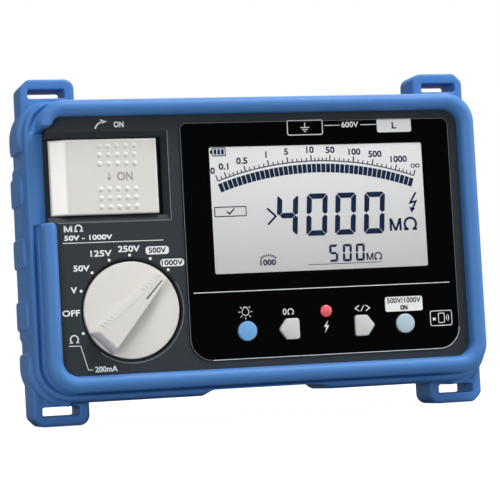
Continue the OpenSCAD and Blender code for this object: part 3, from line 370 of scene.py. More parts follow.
def boot_sweep():
    """The section carried round the case. Each section gets its own lift: the bead sinks to a plain
    shoulder in the lever's gap, the band swells under the side pads and the pads rise from it."""
    side, t = boot_stations()
    front, rear, under = boot_section()
    rows = np.concatenate([front, rear, under])
    d = np.repeat(rows[None, :, 0], len(side), 0)
    z = np.repeat(rows[None, :, 1], len(side), 0)
    ref_x, ref_y = boot_outline(side, t, np.full(side.shape, track))
    # bead ends at the lever's gap
    strides = np.hypot(np.diff(ref_x[:, 0]), np.diff(ref_y[:, 0]))
    along = np.concatenate([[0], np.cumsum(strides)])[:, None]
    left = side == left_side
    upper = along[left].min() + (ref_y[left].max() - gap_y[1])
    lower = along[left].max() - (gap_y[0] - ref_y[left].min())
    into = np.maximum(upper - along, along - lower)
    high, wide = round_end(into, end_high), round_end(into, end_wide)
    n, m = len(front), len(under)
    f = np.linspace(0, 1, n)[None, :]
    flat_d = case_side + shoulder_wide * f
    flat_z = shoulder_z + shoulder_rise * f + shoulder_crown * np.sin(np.pi * f)
    neck_deep = 5
    body = np.clip((front[None, :, 1] + neck_deep) / neck_deep, 0, 1)
    slim = track + (front[None, :, 0] - track) * (wide * body + 1 - body)
    d[:, :n] = flat_d + (slim - flat_d) * high ** 0.5
    z[:, :n] = flat_z + (front[None, :, 1] - flat_z) * high
    under_z = shoulder_z - 0.05
    d[:, -m:] = case_side + (under[None, :, 0] - case_side) * high
    z[:, -m:] = under_z + (under[None, :, 1] - under_z) * high
    # swelling, pads and skirts of the band
    k = slice(n, n + len(rear))
    depth = z[:, k]
    outer = d[:, k] > outer_from
    flank, low = (side == right_side) | (side == left_side), side == low_side
    beside_pads = np.where(flank, step(np.abs(ref_y), *swell_y), 0)
    out = swell * beside_pads * step(depth, *swell_front) * step(depth, *swell_back)
    off_row = np.abs(depth - sum(pad_z) / 2) - (pad_z[0] - pad_z[1]) / 2
    for y in pad_y:
        off = off_box(np.abs(ref_y - y) - pad_half, off_row, pad_r)
        out = out + np.where(flank, pad_rise * step(off, pad_slope, -pad_slope), 0)
    # a corner pad fills its arc, where any way inside the box will do, and ends on the straight sides
    short = np.where(side % 2 == 1, -9, corner_pad_x - np.abs(ref_x))
    short = np.where(flank, corner_pad_y - np.abs(ref_y), short)
    off = off_box(short, off_row, corner_pad_r)
    out = out + corner_pad_rise * step(off, corner_pad_slope, -corner_pad_slope)
    skirts = np.where(low, skirt * step(np.abs(ref_x), *skirt_x), 0)
    out = out + skirts * step(depth, *skirt_front) * step(depth, *skirt_back)
    d[:, k] = np.where(outer, d[:, k] + out, d[:, k])
    # in the middle of the lower side the band draws in to a tapered web behind the bead
    drawn = np.where(low, arch * step(np.abs(ref_x), *arch_x), 0)
    web = web_wide + web_taper * depth
    d[:, k] = np.where(d[:, k] > web, web + (d[:, k] - web) * (1 - drawn), d[:, k])
    # along the top the band sinks to the bead's level
    on_top = side == top_side
    level = np.select([on_top, side == top_side - 1, side == top_side + 1],
                      [np.ones_like(t), step(t, 0.35, 1), step(t, 0.65, 0)], 0)
    behind_bead = (z < -3) & (d > top_wide)
    d = np.where(behind_bead, top_wide + (d - top_wide) * (1 - top_sink * level), d)
    # opening for the terminals in the top
    over = on_top & (ref_x > hole_x[0] - hair) & (ref_x < hole_x[1] + hair)
    inside = over & (z < hole_z[0] + hair) & (z > hole_z[1] - hair)
    return side, t, d, z, inside, ref_x


def boot_shell():
    """Points and quads of the swept boot, with the hole for the terminals cut out."""
    side, t, d, z, inside, ref_x = boot_sweep()
    rows, cols = z.shape
    # of two equal stations or rows, the one away from the hole stays on its rim and the other drops
    edge_row = np.zeros(cols, bool)
    for value, outer, inner in ((hole_z[0], 0, 3), (hole_z[1], 1, 2)):
        same = np.where(np.abs(z[0] - value) < hair)[0]
        edge_row[same[[outer, inner]]] = True
    edge_station = np.zeros(rows, bool)
    on_top = side[:, 0] == top_side
    for value, pick in ((hole_x[1], 0), (hole_x[0], -1)):
        same = np.where(on_top & (np.abs(ref_x[:, 0] - value) < 1000 * hair))[0]
        edge_station[same[pick]] = True
    sunk = inside & ~edge_row[None, :] & ~edge_station[:, None]
    d = np.where(sunk, case_side, d)
    x, y = boot_outline(side, t, d)
    quads = grid_quads(rows, cols, True, True)
    hidden = sunk.reshape(-1)[quads].all(1)
    return np.stack([x, y, z], -1), quads[~hidden]


def rounded_ring(corners, per):
    """Closed outline through corners (x, y, r), counter-clockwise: each is an arc of radius r that
    touches both of its sides at r / tan(half angle) from the corner, with `per` points (one count each)."""
    ring = []
    for i, (px, py, r) in enumerate(corners):
        p = np.array([px, py])
        a, b = (np.array(corners[(i + s) % len(corners)][:2]) - p for s in (-1, 1))
        a, b = a / np.hypot(*a), b / np.hypot(*b)
        half = np.arccos(np.clip(a @ b, -1, 1)) / 2
        centre = p + (a + b) / np.hypot(*(a + b)) * r / np.sin(half)
        first, last = p + a * r / np.tan(half) - centre, p + b * r / np.tan(half) - centre
        s = np.linspace(0, 1, per[i])[:, None]
        chord = first * (1 - s) + last * s
        ring.append(centre + chord / np.hypot(chord[:, 0], chord[:, 1])[:, None] * r)
    return np.concatenate(ring)


def outside(ring):
    """Outward unit normals (dy, -dx) of a counter-clockwise ring, from the chord between neighbours."""
    chord = np.roll(ring, -1, 0) - np.roll(ring, 1, 0)
    return np.stack([chord[:, 1], -chord[:, 0]], -1) / np.hypot(chord[:, 0], chord[:, 1])[:, None]


# strap loops: reach past the case and depth of the lower and the upper ones, slot and rounded edges
loop_reach, loop_z1 = (7.6, 7.0), (-32.5, -30.0)
loop_long, loop_z0, loop_cut, loop_edge = 22.7, -14.2, 3.4, 1.2
slot_w, slot_h, slot_r, slot_down, slot_edge = 7.4, 1.8, 0.9, 5.9, 0.5


def loop_shell(sx, sy):
    """One strap loop: a section with rounded edges that goes round between the slot and the outline."""
    upper = sy > 0
    far = half_w + loop_reach[0]
    x0, x1 = far - loop_long, half_w + loop_reach[upper]
    y1 = boot_hi[1] if upper else -boot_lo[1]
    rim = rounded_ring([(x0, half_h + 2.2, 0.6), (x1, half_h - 6.0, 0.6), (x1, y1 - loop_cut, 3.2),
                        (x1 - loop_cut, y1, 3.2), (x0, y1, 4.0)], (9, 9, 9, 9, 9))
    mid_x, mid_y = (x0 + far) / 2, y1 - slot_down
    ways = ((-1, -1), (1, -1), (1, 1), (-1, 1))
    slot = rounded_ring([(mid_x + u * slot_w, mid_y + v * slot_h, slot_r) for u, v in ways], (9, 9, 18, 9))
    out, into = outside(rim), outside(slot)
    z0, z1 = loop_z0, loop_z1[upper]
    rows = [(slot + into * e, z) for e, z in arc(slot_edge, z0 - slot_edge, slot_edge, 180, 90, 4)]
    rows += [(rim - out * e, z) for e, z in arc(loop_edge, z0 - loop_edge, loop_edge, 90, 180, 6)]
    rows += [(rim - out * e, z) for e, z in arc(loop_edge, z1 + loop_edge, loop_edge, 180, 270, 6)]
    rows += [(slot + into * e, z) for e, z in arc(slot_edge, z1 + slot_edge, slot_edge, 270, 180, 4)]
    points = np.stack([np.column_stack([ring, np.full(len(ring), z)]) for ring, z in rows])
    return points * np.array([sx, sy, 1]), grid_quads(len(rows), len(slot), True, True)


blue_rubber = moulded("blue_elastomer", (70, 125, 191), 0.5, scale=2200, mottle=0.06, relief=0.008,
                      shine=0.34)
loops = [loop_shell(sx, sy) for sx in (-1, 1) for sy in (-1, 1)]
boot = piece("boot", [boot_shell(), *loops], blue_rubber, 40)
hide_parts("protector")
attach(boot, "tester")

# Panel marks
# White ink pad-printed on the panel: the ranges about the knob, the current of the lowest one, the
# span of the ranges over a rule, and the arrow over the lever. Bright lines stand for the light on
# the rims of the lever's well and the knob's recess.
def letter_shapes(text):
    """Points and faces of plain letters one unit high."""
    curve = bpy.data.curves.new("letters", "FONT")
    curve.body = text
    curve.resolution_u = 3
    holder = bpy.data.objects.new("letters", curve)
    mesh = bpy.data.meshes.new_from_object(holder)
    points = np.zeros(3 * len(mesh.vertices))
    mesh.vertices.foreach_get("co", points)
    faces = [list(face.vertices) for face in mesh.polygons]
    bpy.data.objects.remove(holder)
    bpy.data.curves.remove(curve)
    bpy.data.meshes.remove(mesh)
    return points.reshape(-1, 3)[:, :2], faces


def letters(text, x0, x1, y, cap, bold=0.1):
    """A line of letters: the outlines' own width goes to x0 .. x1 and their capital height to cap. Four
    copies, each `bold` mm off to one side and a hair above the last, thicken the strokes."""
    points, faces = letter_shapes(text)
    tall = np.ptp(letter_shapes("H")[0][:, 1])
    across = (points[:, 0] - points[:, 0].min()) / np.ptp(points[:, 0])
    x = x0 + bold + across * (x1 - x0 - 2 * bold)
    line = np.stack([x, y + bold + points[:, 1] / tall * (cap - 2 * bold)], -1)
    sides = bold * np.array([(1, 1), (-1, 1), (-1, -1), (1, -1)])
    lift = 0.004
    copies = [np.column_stack([line + side, np.full(len(line), lift * k)]) for k, side in enumerate(sides)]
    return np.concatenate(copies), [[c + k * len(line) for c in face] for k in range(4) for face in faces]


def number(text, x, y, cap):
    """Figures centred on (x, y), 1.02 times as wide as their own shape and `bold` more at both ends."""
    bold = 0.1
    wide = 1.02 * cap * np.ptp(letter_shapes(text)[0][:, 0]) / np.ptp(letter_shapes("H")[0][:, 1])
    return letters(text, x - wide / 2 - bold, x + wide / 2 + bold, y - cap / 2, cap, bold)


def stroke(path, width, closed=False):
    """A strip of even width along a path. Each corner goes out by (n1 + n2) / (1 + n1 . n2), where n1
    and n2 are the normals of its two sides, so that the strip is mitred."""
    p = np.asarray(path, float)
    first, last = (p[-1], p[0]) if closed else (2 * p[0] - p[1], 2 * p[-1] - p[-2])
    way = np.diff(np.concatenate([[first], p, [last]]), axis=0)
    normal = np.stack([-way[:, 1], way[:, 0]], -1) / np.hypot(way[:, 0], way[:, 1])[:, None]
    n1, n2 = normal[:-1], normal[1:]
    mitre = (n1 + n2) / (1 + np.sum(n1 * n2, 1))[:, None] * width / 2
    n = len(p)
    i = np.arange(n if closed else n - 1)
    j = (i + 1) % n
    return np.concatenate([p - mitre, p + mitre]), np.stack([i, j, j + n, i + n], -1)


def filled(ring):
    """A flat face inside a closed outline, turned to look out of the panel by the sign of its area."""
    ring = np.asarray(ring, float)
    x, y = ring.T
    area = np.sum(x * np.roll(y, -1) - np.roll(x, -1) * y)
    return (ring if area > 0 else ring[::-1]), [list(range(len(ring)))]


def frame_ring(x0, y0, x1, y1, low, high):
    """Outline of a box with lower corners of radius `low` and upper ones of radius `high`."""
    return rounded_ring([(x0, y0, low), (x1, y0, low), (x1, y1, high), (x0, y1, high)], (7,) * 4)


def ohm(x0, x1, y, tall, width):
    """The unit's sign by one stroke: a foot, an arc from -58 to 238 degrees and the other foot."""
    r = (tall - width) * 0.54
    bow = arc((x0 + x1) / 2, y + tall - width / 2 - r, r, -58, 238, 25)
    base = y + width / 2
    right_foot, left_foot = [(x1, base), (bow[0, 0], base)], [(bow[-1, 0], base), (x0, base)]
    return stroke(np.concatenate([right_foot, bow, left_foot]), width)


def big_m(x0, x1, y, cap, width):
    """The letter of the unit's prefix: two uprights and two slanted bars that meet on the base line."""
    mid, top, half = (x0 + x1) / 2, y + cap, width / 2
    bars = [filled([(x, y), (x + width, y), (x + width, top), (x, top)]) for x in (x0, x1 - width)]
    return bars + [filled([(x, top), (x + 1.1 * width, top), (mid + half, y), (mid - half, y)])
                   for x in (x0, x1 - 1.1 * width)]


def printed(name, shapes, z, ink, body="tester", shift=(0, 0)):
    """One flat film at the height z, from flat shapes of points and faces, riding on a body: print, a
    display sheet or a painted highlight line, by its material. A third column of the points is a lift above
    z."""
    points, faces, count = [], [], 0
    for flat, polygons in shapes:
        points.append(np.column_stack([flat[:, :2] + shift, z + flat[:, 2:].sum(1)]))
        faces += [[int(corner) + count for corner in polygon] for polygon in polygons]
        count += len(flat)
    mesh = bpy.data.meshes.new(name)
    mesh.from_pydata(to_world(np.concatenate(points)).tolist(), [], faces)
    mesh.materials.append(ink)
    film = bpy.data.objects.new(name, mesh)
    bpy.context.scene.collection.objects.link(film)
    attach(film, body)


white_ink = moulded("white_ink", (238, 240, 240), 0.5, scale=3000, mottle=0.05, shine=0.2)
dark_ink = moulded("dark_ink", (30, 31, 33), 0.5, scale=3000, mottle=0.1, shine=0.2)
rim_glint = moulded("rim_glint", (118, 123, 127), 0.35, scale=500, mottle=0.6, shine=0.3)
ink_lift, thin = 0.02, 0.3
knob_lo, knob_hi = panel_box("range_knob")
knob_axis, knob_r = (knob_lo + knob_hi)[:2] / 2, (knob_hi[0] - knob_lo[0]) / 2
stops = np.radians([-112.5, -67.5, -45, -22.5, 0, 22.5, 45])
dot_ring, dot_r = 21.5, 0.58
dot_places = knob_axis + dot_ring * np.stack([np.sin(stops), np.cos(stops)], -1)
dots = [filled(arc(*place, dot_r, 0, 345, 24)) for place in dot_places]
tags = [filled(frame_ring(-49.0, -4.35, -39.6, -1.15, 1.2, 1.2)),
        filled(frame_ring(-43.3, -9.3, -33.7, -6.3, 1.2, 1.2))]
tag_figures = [letters("500V", -47.8, -40.8, -3.75, 2.1, 0.07),
               letters("1000V", -42.8, -34.2, -8.85, 2.1, 0.07)]
ranges = [letters("50V", -78.0, -71.6, -9.9, 2.35), letters("125V", -71.0, -62.6, -4.4, 2.45),
          letters("250V", -60.0, -51.3, -3.0, 2.45), letters("V", -79.4, -77.0, -18.4, 2.5),
          letters("OFF", -83.2, -76.2, -27.2, 2.4), ohm(-80.8, -77.1, -37.7, 3.3, 0.5)]
current = [stroke([(-81.2, -38.7), (-76.6, -38.8), (-74.0, -48.2), (-72.2, -48.3)], thin),
           letters("200mA", -71.4, -62.5, -49.35, 2.3)]
span = [*big_m(-81.0, -77.7, 5.5, 2.7, 0.62), ohm(-77.0, -73.4, 5.5, 2.9, 0.55),
        letters("50V - 1000V", -81.0, -62.0, 2.2, 2.0), stroke([(-81.7, 1.2), (-41.6, 1.2)], thin)]
arrow = [stroke([(-66.7, 45.7), (-66.3, 46.6), (-65.6, 47.5), (-64.5, 48.2), (-63.6, 48.5)], 0.6),
         filled([(-64.7, 49.5), (-61.8, 48.5), (-63.9, 47.6)]), letters("ON", -59.2, -55.2, 46.1, 2.3)]
printed("panel_print", dots + tags + ranges + current + span + arrow, ink_lift, white_ink)
rim_x, rim_low, rim_high = lever_hi[0] + 4.65, lever_lo[1] - 2.95, lever_hi[1] + 2.95
well_rim = stroke([(lever_lo[0] + 2, rim_low), (rim_x, rim_low), (rim_x, rim_high)], thin)
recess_rim = stroke(arc(*knob_axis, knob_r + 1.9, -130, 30, 60), thin)
printed("well_rim", [well_rim, recess_rim], ink_lift, rim_glint)
printed("panel_tag_print", tag_figures, 2 * ink_lift, dark_ink)

# Display plate
# Gloss black acrylic plate, printed from behind and glued into the pocket of the front half. The
# buttons and the lamp come up through its holes.
gloss_black = moulded("gloss_black", (5, 4, 4), 0.3, scale=900, mottle=0.3, shine=0.015)
dress(gloss_black, "fascia_plate")

# Plate marks
# White ink on the display plate: the signs of the two terminals above the display, a rule under
# it, and the signs of the buttons and the lamp. Bright lines along the plate's chamfer are painted
# highlights.
plate_lo, plate_hi = panel_box("fascia_plate")
film_z = plate_hi[2] + ink_lift
earth_line, earth_x, volts_y = 0.35, 19, 45.05
earth_ring = rounded_ring([(11.6, 41.45, 0.9), (26.35, 41.5, 0.9), (26.4, 47.3, 0.1), (11.7, 47.25, 0.1)],
                          (7, 7, 2, 2))
earth = [stroke(earth_ring, earth_line, True), stroke([(earth_x, 46.4), (earth_x, 44.4)], earth_line)]
earth += [stroke([(earth_x - half, y), (earth_x + half, y)], earth_line)
          for half, y in ((1.9, 44.4), (1.2, 43.6), (0.5, 42.8))]
volts = [stroke([(x0, volts_y), (x1, volts_y)], thin) for x0, x1 in ((27.2, 33.8), (42.5, 49.3))]
volts += [letters("600V", 34.5, 41.7, 44.1, 2.3, 0.06)]
line_box = filled(frame_ring(49.6, 41.75, 64.35, 47.3, 0.9, 0.1))
rule = stroke([(-30.6, -20.3), (77.0, -20.3)], 0.28)
release_tag = filled(frame_ring(48.75, -31.25, 64.8, -25.3, 0.9, 0.9))
bulb_x, bulb_y, bulb_line = -9.9, -28.6, 0.26
bulb_base = ((-0.75, 1.15), (-0.65, 1.9), (0.65, 1.9), (0.75, 1.15))
bulb = [stroke(arc(bulb_x, bulb_y, 1.4, -230, 50, 24), bulb_line),
        stroke([(bulb_x + x, bulb_y + y) for x, y in bulb_base], 0.28)]
bulb += [stroke([(bulb_x + r * np.cos(a), bulb_y + r * np.sin(a)) for r in (2.05, 2.95)], bulb_line)
         for a in np.radians(np.arange(135, 406, 45))]
zero = [letters("0", 5.5, 7.1, -30.5, 2.5, 0.03), ohm(7.5, 10.0, -30.5, 2.5, 0.42)]
bolt = filled([(24.3, -33.4), (22.3, -36.1), (23.4, -36.0), (22.7, -38.5), (24.6, -35.5), (23.5, -35.6)])
compare = [stroke([(x0, -28.1), (x1, -29.25), (x0, -30.4)], 0.36) for x0, x1 in ((37.6, 35.9), (40.4, 42.1))]
compare += [stroke([(38.3, -30.4), (39.7, -28.1)], thin)]
wireless = [stroke(frame_ring(67.9, -37.75, 77.1, -31.8, 0.7, 0.7), thin, True),
            filled([(68.9, -35.6), (70.1, -35.6), (70.1, -34.5), (68.9, -34.5)]),
            stroke(frame_ring(71.4, -36.6, 73.9, -32.8, 0.3, 0.3), thin, True)]
wireless += [stroke(arc(74.0, -34.7, r, -45, 45, 7), thin) for r in (0.9, 1.8)]
printed("plate_print", earth + volts + [line_box, rule, release_tag, bolt] + bulb + zero + compare + wireless,
        film_z, white_ink)
tag_print = [letters("L", 56.0, 58.0, 43.2, 2.7), letters("500V/1000V", 49.6, 64.1, -27.85, 2.1, 0.06),
             letters("ON", 55.1, 58.3, -30.7, 1.9, 0.12)]
printed("plate_tag_print", tag_print, film_z + ink_lift, dark_ink)
# painted highlights along the plate's chamfer: a grey line all round, and a near-white one along its foot and
# round its lower right corner
chamfer, plate_low_r, plate_high_r = 0.26, 8.7, 2.5
edge_left, edge_low = plate_lo[:2] + chamfer
edge_right, edge_high = plate_hi[:2] - chamfer
edge_line = frame_ring(edge_left, edge_low, edge_right, edge_high, plate_low_r, plate_high_r)
plate_chamfer_highlight = moulded("plate_chamfer_highlight", (120, 124, 128), 0.3, scale=600, mottle=0.5, shine=0.3)
printed("plate_chamfer_highlight", [stroke(edge_line, 0.22, True)], film_z, plate_chamfer_highlight)
lit_corner = arc(edge_right - plate_low_r, edge_low + plate_low_r, plate_low_r, 270, 360, 14)
lit_line = [(plate_lo[0] + 9, edge_low), *lit_corner]
plate_foot_highlight = moulded("plate_foot_highlight", (228, 232, 236), 0.3, scale=300, mottle=0.5, shine=0.3)
printed("plate_foot_highlight", [stroke(lit_line, 0.24)], film_z + ink_lift / 2, plate_foot_highlight)

# Display
# Reflective liquid-crystal glass bonded behind a clear pane that lies flush with the plate. Black
# print on the back of the pane frames the lit face, whose colour carries painted light and shade: it
# grows darker towards its foot and brighter towards its head.
def stacked(ring, at, rows):
    """A shell of rows (share, z): a ring of points about (0, 0) times the share, moved to `at` and z."""
    points = [np.column_stack([ring * share + at, np.full(len(ring), z)]) for share, z in rows]
    return np.stack(points), grid_quads(len(rows), len(ring), False, True)


window_lo, window_hi = panel_box("lcd_window")
window_mid, window_r = (window_lo + window_hi)[:2] / 2, 1.7
window_ring = frame_ring(*window_lo[:2], *window_hi[:2], window_r, window_r)
face_half, face_r = np.array([44.8, 25.25]), 0.8
face_mid = window_mid + np.array([-0.15, 0.25])
face_ring = frame_ring(*(face_mid - face_half), *(face_mid + face_half), face_r, face_r)
pane_top, pane_low, pane_edge = window_hi[2], window_hi[2] - 0.3, 0.08
border_z, face_z, marks_z = pane_low - 0.08, pane_low - 0.05, pane_low - 0.025
lcd_glass = moulded("lcd_glass", (228, 229, 229), 0.5, scale=1800, mottle=0.04, shine=0.2)
# painted light and shade: the face's colour is scaled from 0.76 at the window's foot up to 1.2 at its head
tree = lcd_glass.node_tree
place, parts = tree.nodes.new("ShaderNodeTexCoord"), tree.nodes.new("ShaderNodeSeparateXYZ")
painted_shade_ramp, shaded_face = tree.nodes.new("ShaderNodeMapRange"), tree.nodes.new("ShaderNodeVectorMath")
shaded_face.operation = "SCALE"
foot, head = to_world([(0, window_lo[1], 0), (0, window_hi[1], 0)])[:, 2]
for socket, value in (("From Min", foot), ("From Max", head), ("To Min", 0.76), ("To Max", 1.2)):
    painted_shade_ramp.inputs[socket].default_value = value
surface = tree.nodes["Principled BSDF"].inputs["Base Color"]
tree.links.new(surface.links[0].from_socket, shaded_face.inputs[0])
tree.links.new(place.outputs["Object"], parts.inputs[0])
tree.links.new(parts.outputs["Z"], painted_shade_ramp.inputs["Value"])
tree.links.new(painted_shade_ramp.outputs[0], shaded_face.inputs["Scale"])
tree.links.new(shaded_face.outputs[0], surface)
dress(lcd_glass, "lcd_panel")
printed("window_border", [filled(window_ring)], border_z, gloss_black)
printed("display_face", [filled(face_ring)], face_z, lcd_glass)
clear = moulded("clear_pane", (30, 32, 34), 0.08, scale=700, mottle=0.05, shine=0.2)
clear.node_tree.nodes["Principled BSDF"].inputs["Alpha"].default_value = 0.02
pane_rows = [(0, pane_low), (1, pane_low), (1, pane_top - pane_edge), (0.999, pane_top), (0, pane_top)]
pane = piece("window_pane", [stacked(window_ring - window_mid, window_mid, pane_rows)], clear, 30)
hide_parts("lcd_window")
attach(pane, "tester")

# Display marks
# The dark segments that the glass shows: a bar scale with its numbers, four large digits, a unit,
# and a line of small digits. They lie just under the pane.
def digit(figure, x, y, wide, tall, thick, lean):
    """A seven-segment figure: one bar, one upright and the middle bar, mitred where they meet, and their
    mirror images. x leans by `lean` times the height."""
    mid, gap, bevel, nick = tall / 2, 0.06 * thick, 0.5 * thick, 0.25 * thick
    bar = [(bevel, tall), (wide - bevel, tall), (wide - nick - gap, tall - nick),
           (wide - thick - gap, tall - thick), (thick + gap, tall - thick), (nick + gap, tall - nick)]
    upright = [(0, tall - bevel), (nick, tall - nick - gap), (thick, tall - thick - gap),
               (thick, mid + bevel + gap), (bevel, mid + gap), (0, mid + 0.6 * bevel + gap)]
    cross = [(bevel + gap, mid), (thick + gap, mid + bevel), (wide - thick - gap, mid + bevel),
             (wide - bevel - gap, mid), (wide - thick - gap, mid - bevel), (thick + gap, mid - bevel)]
    source = {"a": (bar, 0, 0), "d": (bar, 0, 1), "f": (upright, 0, 0), "e": (upright, 0, 1),
              "b": (upright, 1, 0), "c": (upright, 1, 1), "g": (cross, 0, 0)}
    bars = []
    for name in {"0": "abcdef", "4": "bcfg", "5": "acdfg"}[figure]:
        ring, across, over = source[name]
        u, v = np.array(ring).T
        u, v = (wide - u if across else u), (tall - v if over else v)
        bars.append(filled(np.stack([x + u + lean * v, y + v], -1)))
    return bars


scale_x, scale_y, scale_r = 23.75, -93.2, 124.2
scale_line, bar_low, bar_high, bar_wide = 0.42, 119.5, 123.0, 1.72


def on_scale(x):
    """Angle about the scale's middle at which the scale's arc passes x: arcsin((x - middle) / radius)."""
    return np.arcsin((x - scale_x) / scale_r)


def radial(a, r0, r1, width):
    """A straight bar on the ray (sin a, cos a) from the scale's middle, from r0 to r1."""
    ray = np.array([np.sin(a), np.cos(a)])
    return stroke(np.array([scale_x, scale_y]) + np.outer([r0, r1], ray), width)


longs = on_scale(np.array([-17.5, -14.0, -5.9, 3.8, 11.8, 21.7, 29.6, 39.4, 47.5, 57.3, 65.0]))
counts = (1, 4, 4, 3, 4, 4, 4, 3, 4, 4)
bend = np.linspace(longs[0], longs[-1], 61)
scale_arc = np.stack([scale_x + scale_r * np.sin(bend), scale_y + scale_r * np.cos(bend)], -1)
scale_marks = [stroke(scale_arc, scale_line)]
scale_marks += [radial(a, scale_r, scale_r + 2.4, 0.5) for a in longs]
scale_marks += [radial(a, scale_r, scale_r + 1.3, 0.44) for k, n in enumerate(counts)
                for a in np.linspace(longs[k], longs[k + 1], n + 2)[1:-1]]
scale_marks += [radial(a, bar_low, bar_high, bar_wide)
                for a in np.linspace(longs[0] + 0.003, longs[-1] - 0.004, 42)]
numbers = (("0", -19.5, 28.1), ("0.1", -14.9, 29.7), ("0.5", -7.3, 31.8), ("1", 2.9, 34.0),
           ("5", 11.3, 35.0), ("10", 21.4, 35.5), ("50", 29.9, 35.3), ("100", 40.2, 34.3),
           ("500", 48.9, 33.2), ("1000", 59.0, 30.9))
scale_marks += [number(text, x, y, 2.6) for text, x, y in numbers]
# the sign for no limit: (1.75 cos a, 1.9 sin a cos a) / (1 + sin^2 a)
turn = np.linspace(0, 2 * np.pi, 40, endpoint=False)
knot = np.stack([1.75 * np.cos(turn), 1.9 * np.sin(turn) * np.cos(turn)], -1)
eight = np.array([66.0, 28.0]) + knot / (1 + np.sin(turn) ** 2)[:, None]
scale_marks.append(stroke(eight, scale_line, True))
frame_line = 0.4
power = [stroke(frame_ring(-19.3, 34.0, -13.9, 37.1, 0.2, 0.2), frame_line, True),
         filled([(-20.2, 34.9), (-19.3, 34.9), (-19.3, 36.2), (-20.2, 36.2)])]
power += [filled([(x, 34.5), (x + 1.1, 34.5), (x + 1.1, 36.6), (x, 36.6)]) for x in (-18.6, -17.1, -15.6)]
reading = [bar for figure, x in zip("4000", (5.4, 17.8, 29.9, 42.2))
           for bar in digit(figure, x, 0.8, 8.8, 17.0, 2.15, 0.077)]
reading += [stroke([(2.1, 12.5), (5.6, 9.2), (2.2, 5.9)], 0.8), *big_m(53.5, 58.6, 1.7, 5.0, 0.95),
            ohm(59.6, 65.2, 1.7, 5.5, 0.95)]
live = [stroke([(65.5, 17.1), (62.9, 12.9), (65.3, 13.4), (63.6, 10.2)], 0.8),
        filled([(62.4, 11.2), (63.2, 8.8), (64.9, 10.6)])]
tick_box = [stroke(frame_ring(-19.5, 9.8, -6.6, 13.5, 0.2, 0.2), frame_line, True),
            stroke([(-14.6, 11.7), (-13.4, 10.7), (-11.4, 12.8)], 0.55)]
small = [bar for figure, x in zip("500", (26.9, 32.7, 38.2))
         for bar in digit(figure, x, -10.0, 3.8, 7.0, 1.0, 0.05)]
small += [*big_m(42.8, 45.8, -9.8, 2.9, 0.55), ohm(46.2, 49.4, -9.8, 3.1, 0.55),
          stroke([(18.1, -10.75), (49.3, -10.75)], 0.25), letters("1000", -1.9, 4.6, -10.3, 2.3, 0.1)]
dash_middle, dash_r, dash_half = np.array([1.6, -11.0]), 4.7, 3.0
small += [stroke(dash_middle + dash_r * np.stack([np.sin(a), np.cos(a)], -1), 0.85)
          for a in np.radians(np.add.outer(np.arange(-40, 41, 10), [-dash_half, dash_half]))]
display_navy = moulded("display_navy", (20, 36, 66), 0.45, scale=1500, mottle=0.08, shine=0.1)
printed("display_marks", scale_marks + power + reading + live + tick_box + small, marks_z, display_navy,
        shift=(-0.68, -0.14))

# Measuring lever
# Ivory ABS lever on a steel hinge pin at its right end. Its left end slopes down to the thumb gap,
# two fields of low domes stand on its face, and a plunger under it works the switch.
def block_shell(x, y, top, bottom):
    """A block between two height fields over the grid of x and y, with straight walls between."""
    nx, ny = len(x), len(y)
    gx, gy = np.meshgrid(x, y, indexing="ij")
    points = np.stack([np.stack([gx, gy, top + 0 * gx], -1), np.stack([gx, gy, bottom + 0 * gx], -1)])
    face = grid_quads(nx, ny)
    at = np.arange(nx * ny).reshape(nx, ny)
    rim = np.concatenate([at[:-1, 0], at[-1, :-1], at[:0:-1, -1], at[0, :0:-1]])
    low, turn = rim + nx * ny, np.roll(rim, -1)
    walls = np.stack([rim, low, turn + nx * ny, turn], -1)
    return points, np.concatenate([face, face[:, ::-1] + nx * ny, walls])


def lathe(profile, count):
    """Points (r cos a, r sin a, h) of the rows (r, h) at `count` angles a. Rows at r = 0 close the ends."""
    r, h = np.asarray(profile, float).T
    a = np.linspace(0, 2 * np.pi, count, endpoint=False)[None, :]
    points = np.stack([r[:, None] * np.cos(a), r[:, None] * np.sin(a), h[:, None] + 0 * a], -1)
    return points, grid_quads(len(r), count, False, True)


lever_top, lever_under, lever_edge = 0.3, -3.45, 0.6
slope_long, slope_fall, slope_soft = 6.6, 2.6, 0.9
dome_pitch, dome_r, dome_ball, dome_high = 3.5, 1.1, 1.46, 0.42
hinge_in, hinge_deep, barrel_r = 4.0, 4.0, 2.7
plunger_in, plunger_half, plunger_top = 20.0, 2.5, -2.0


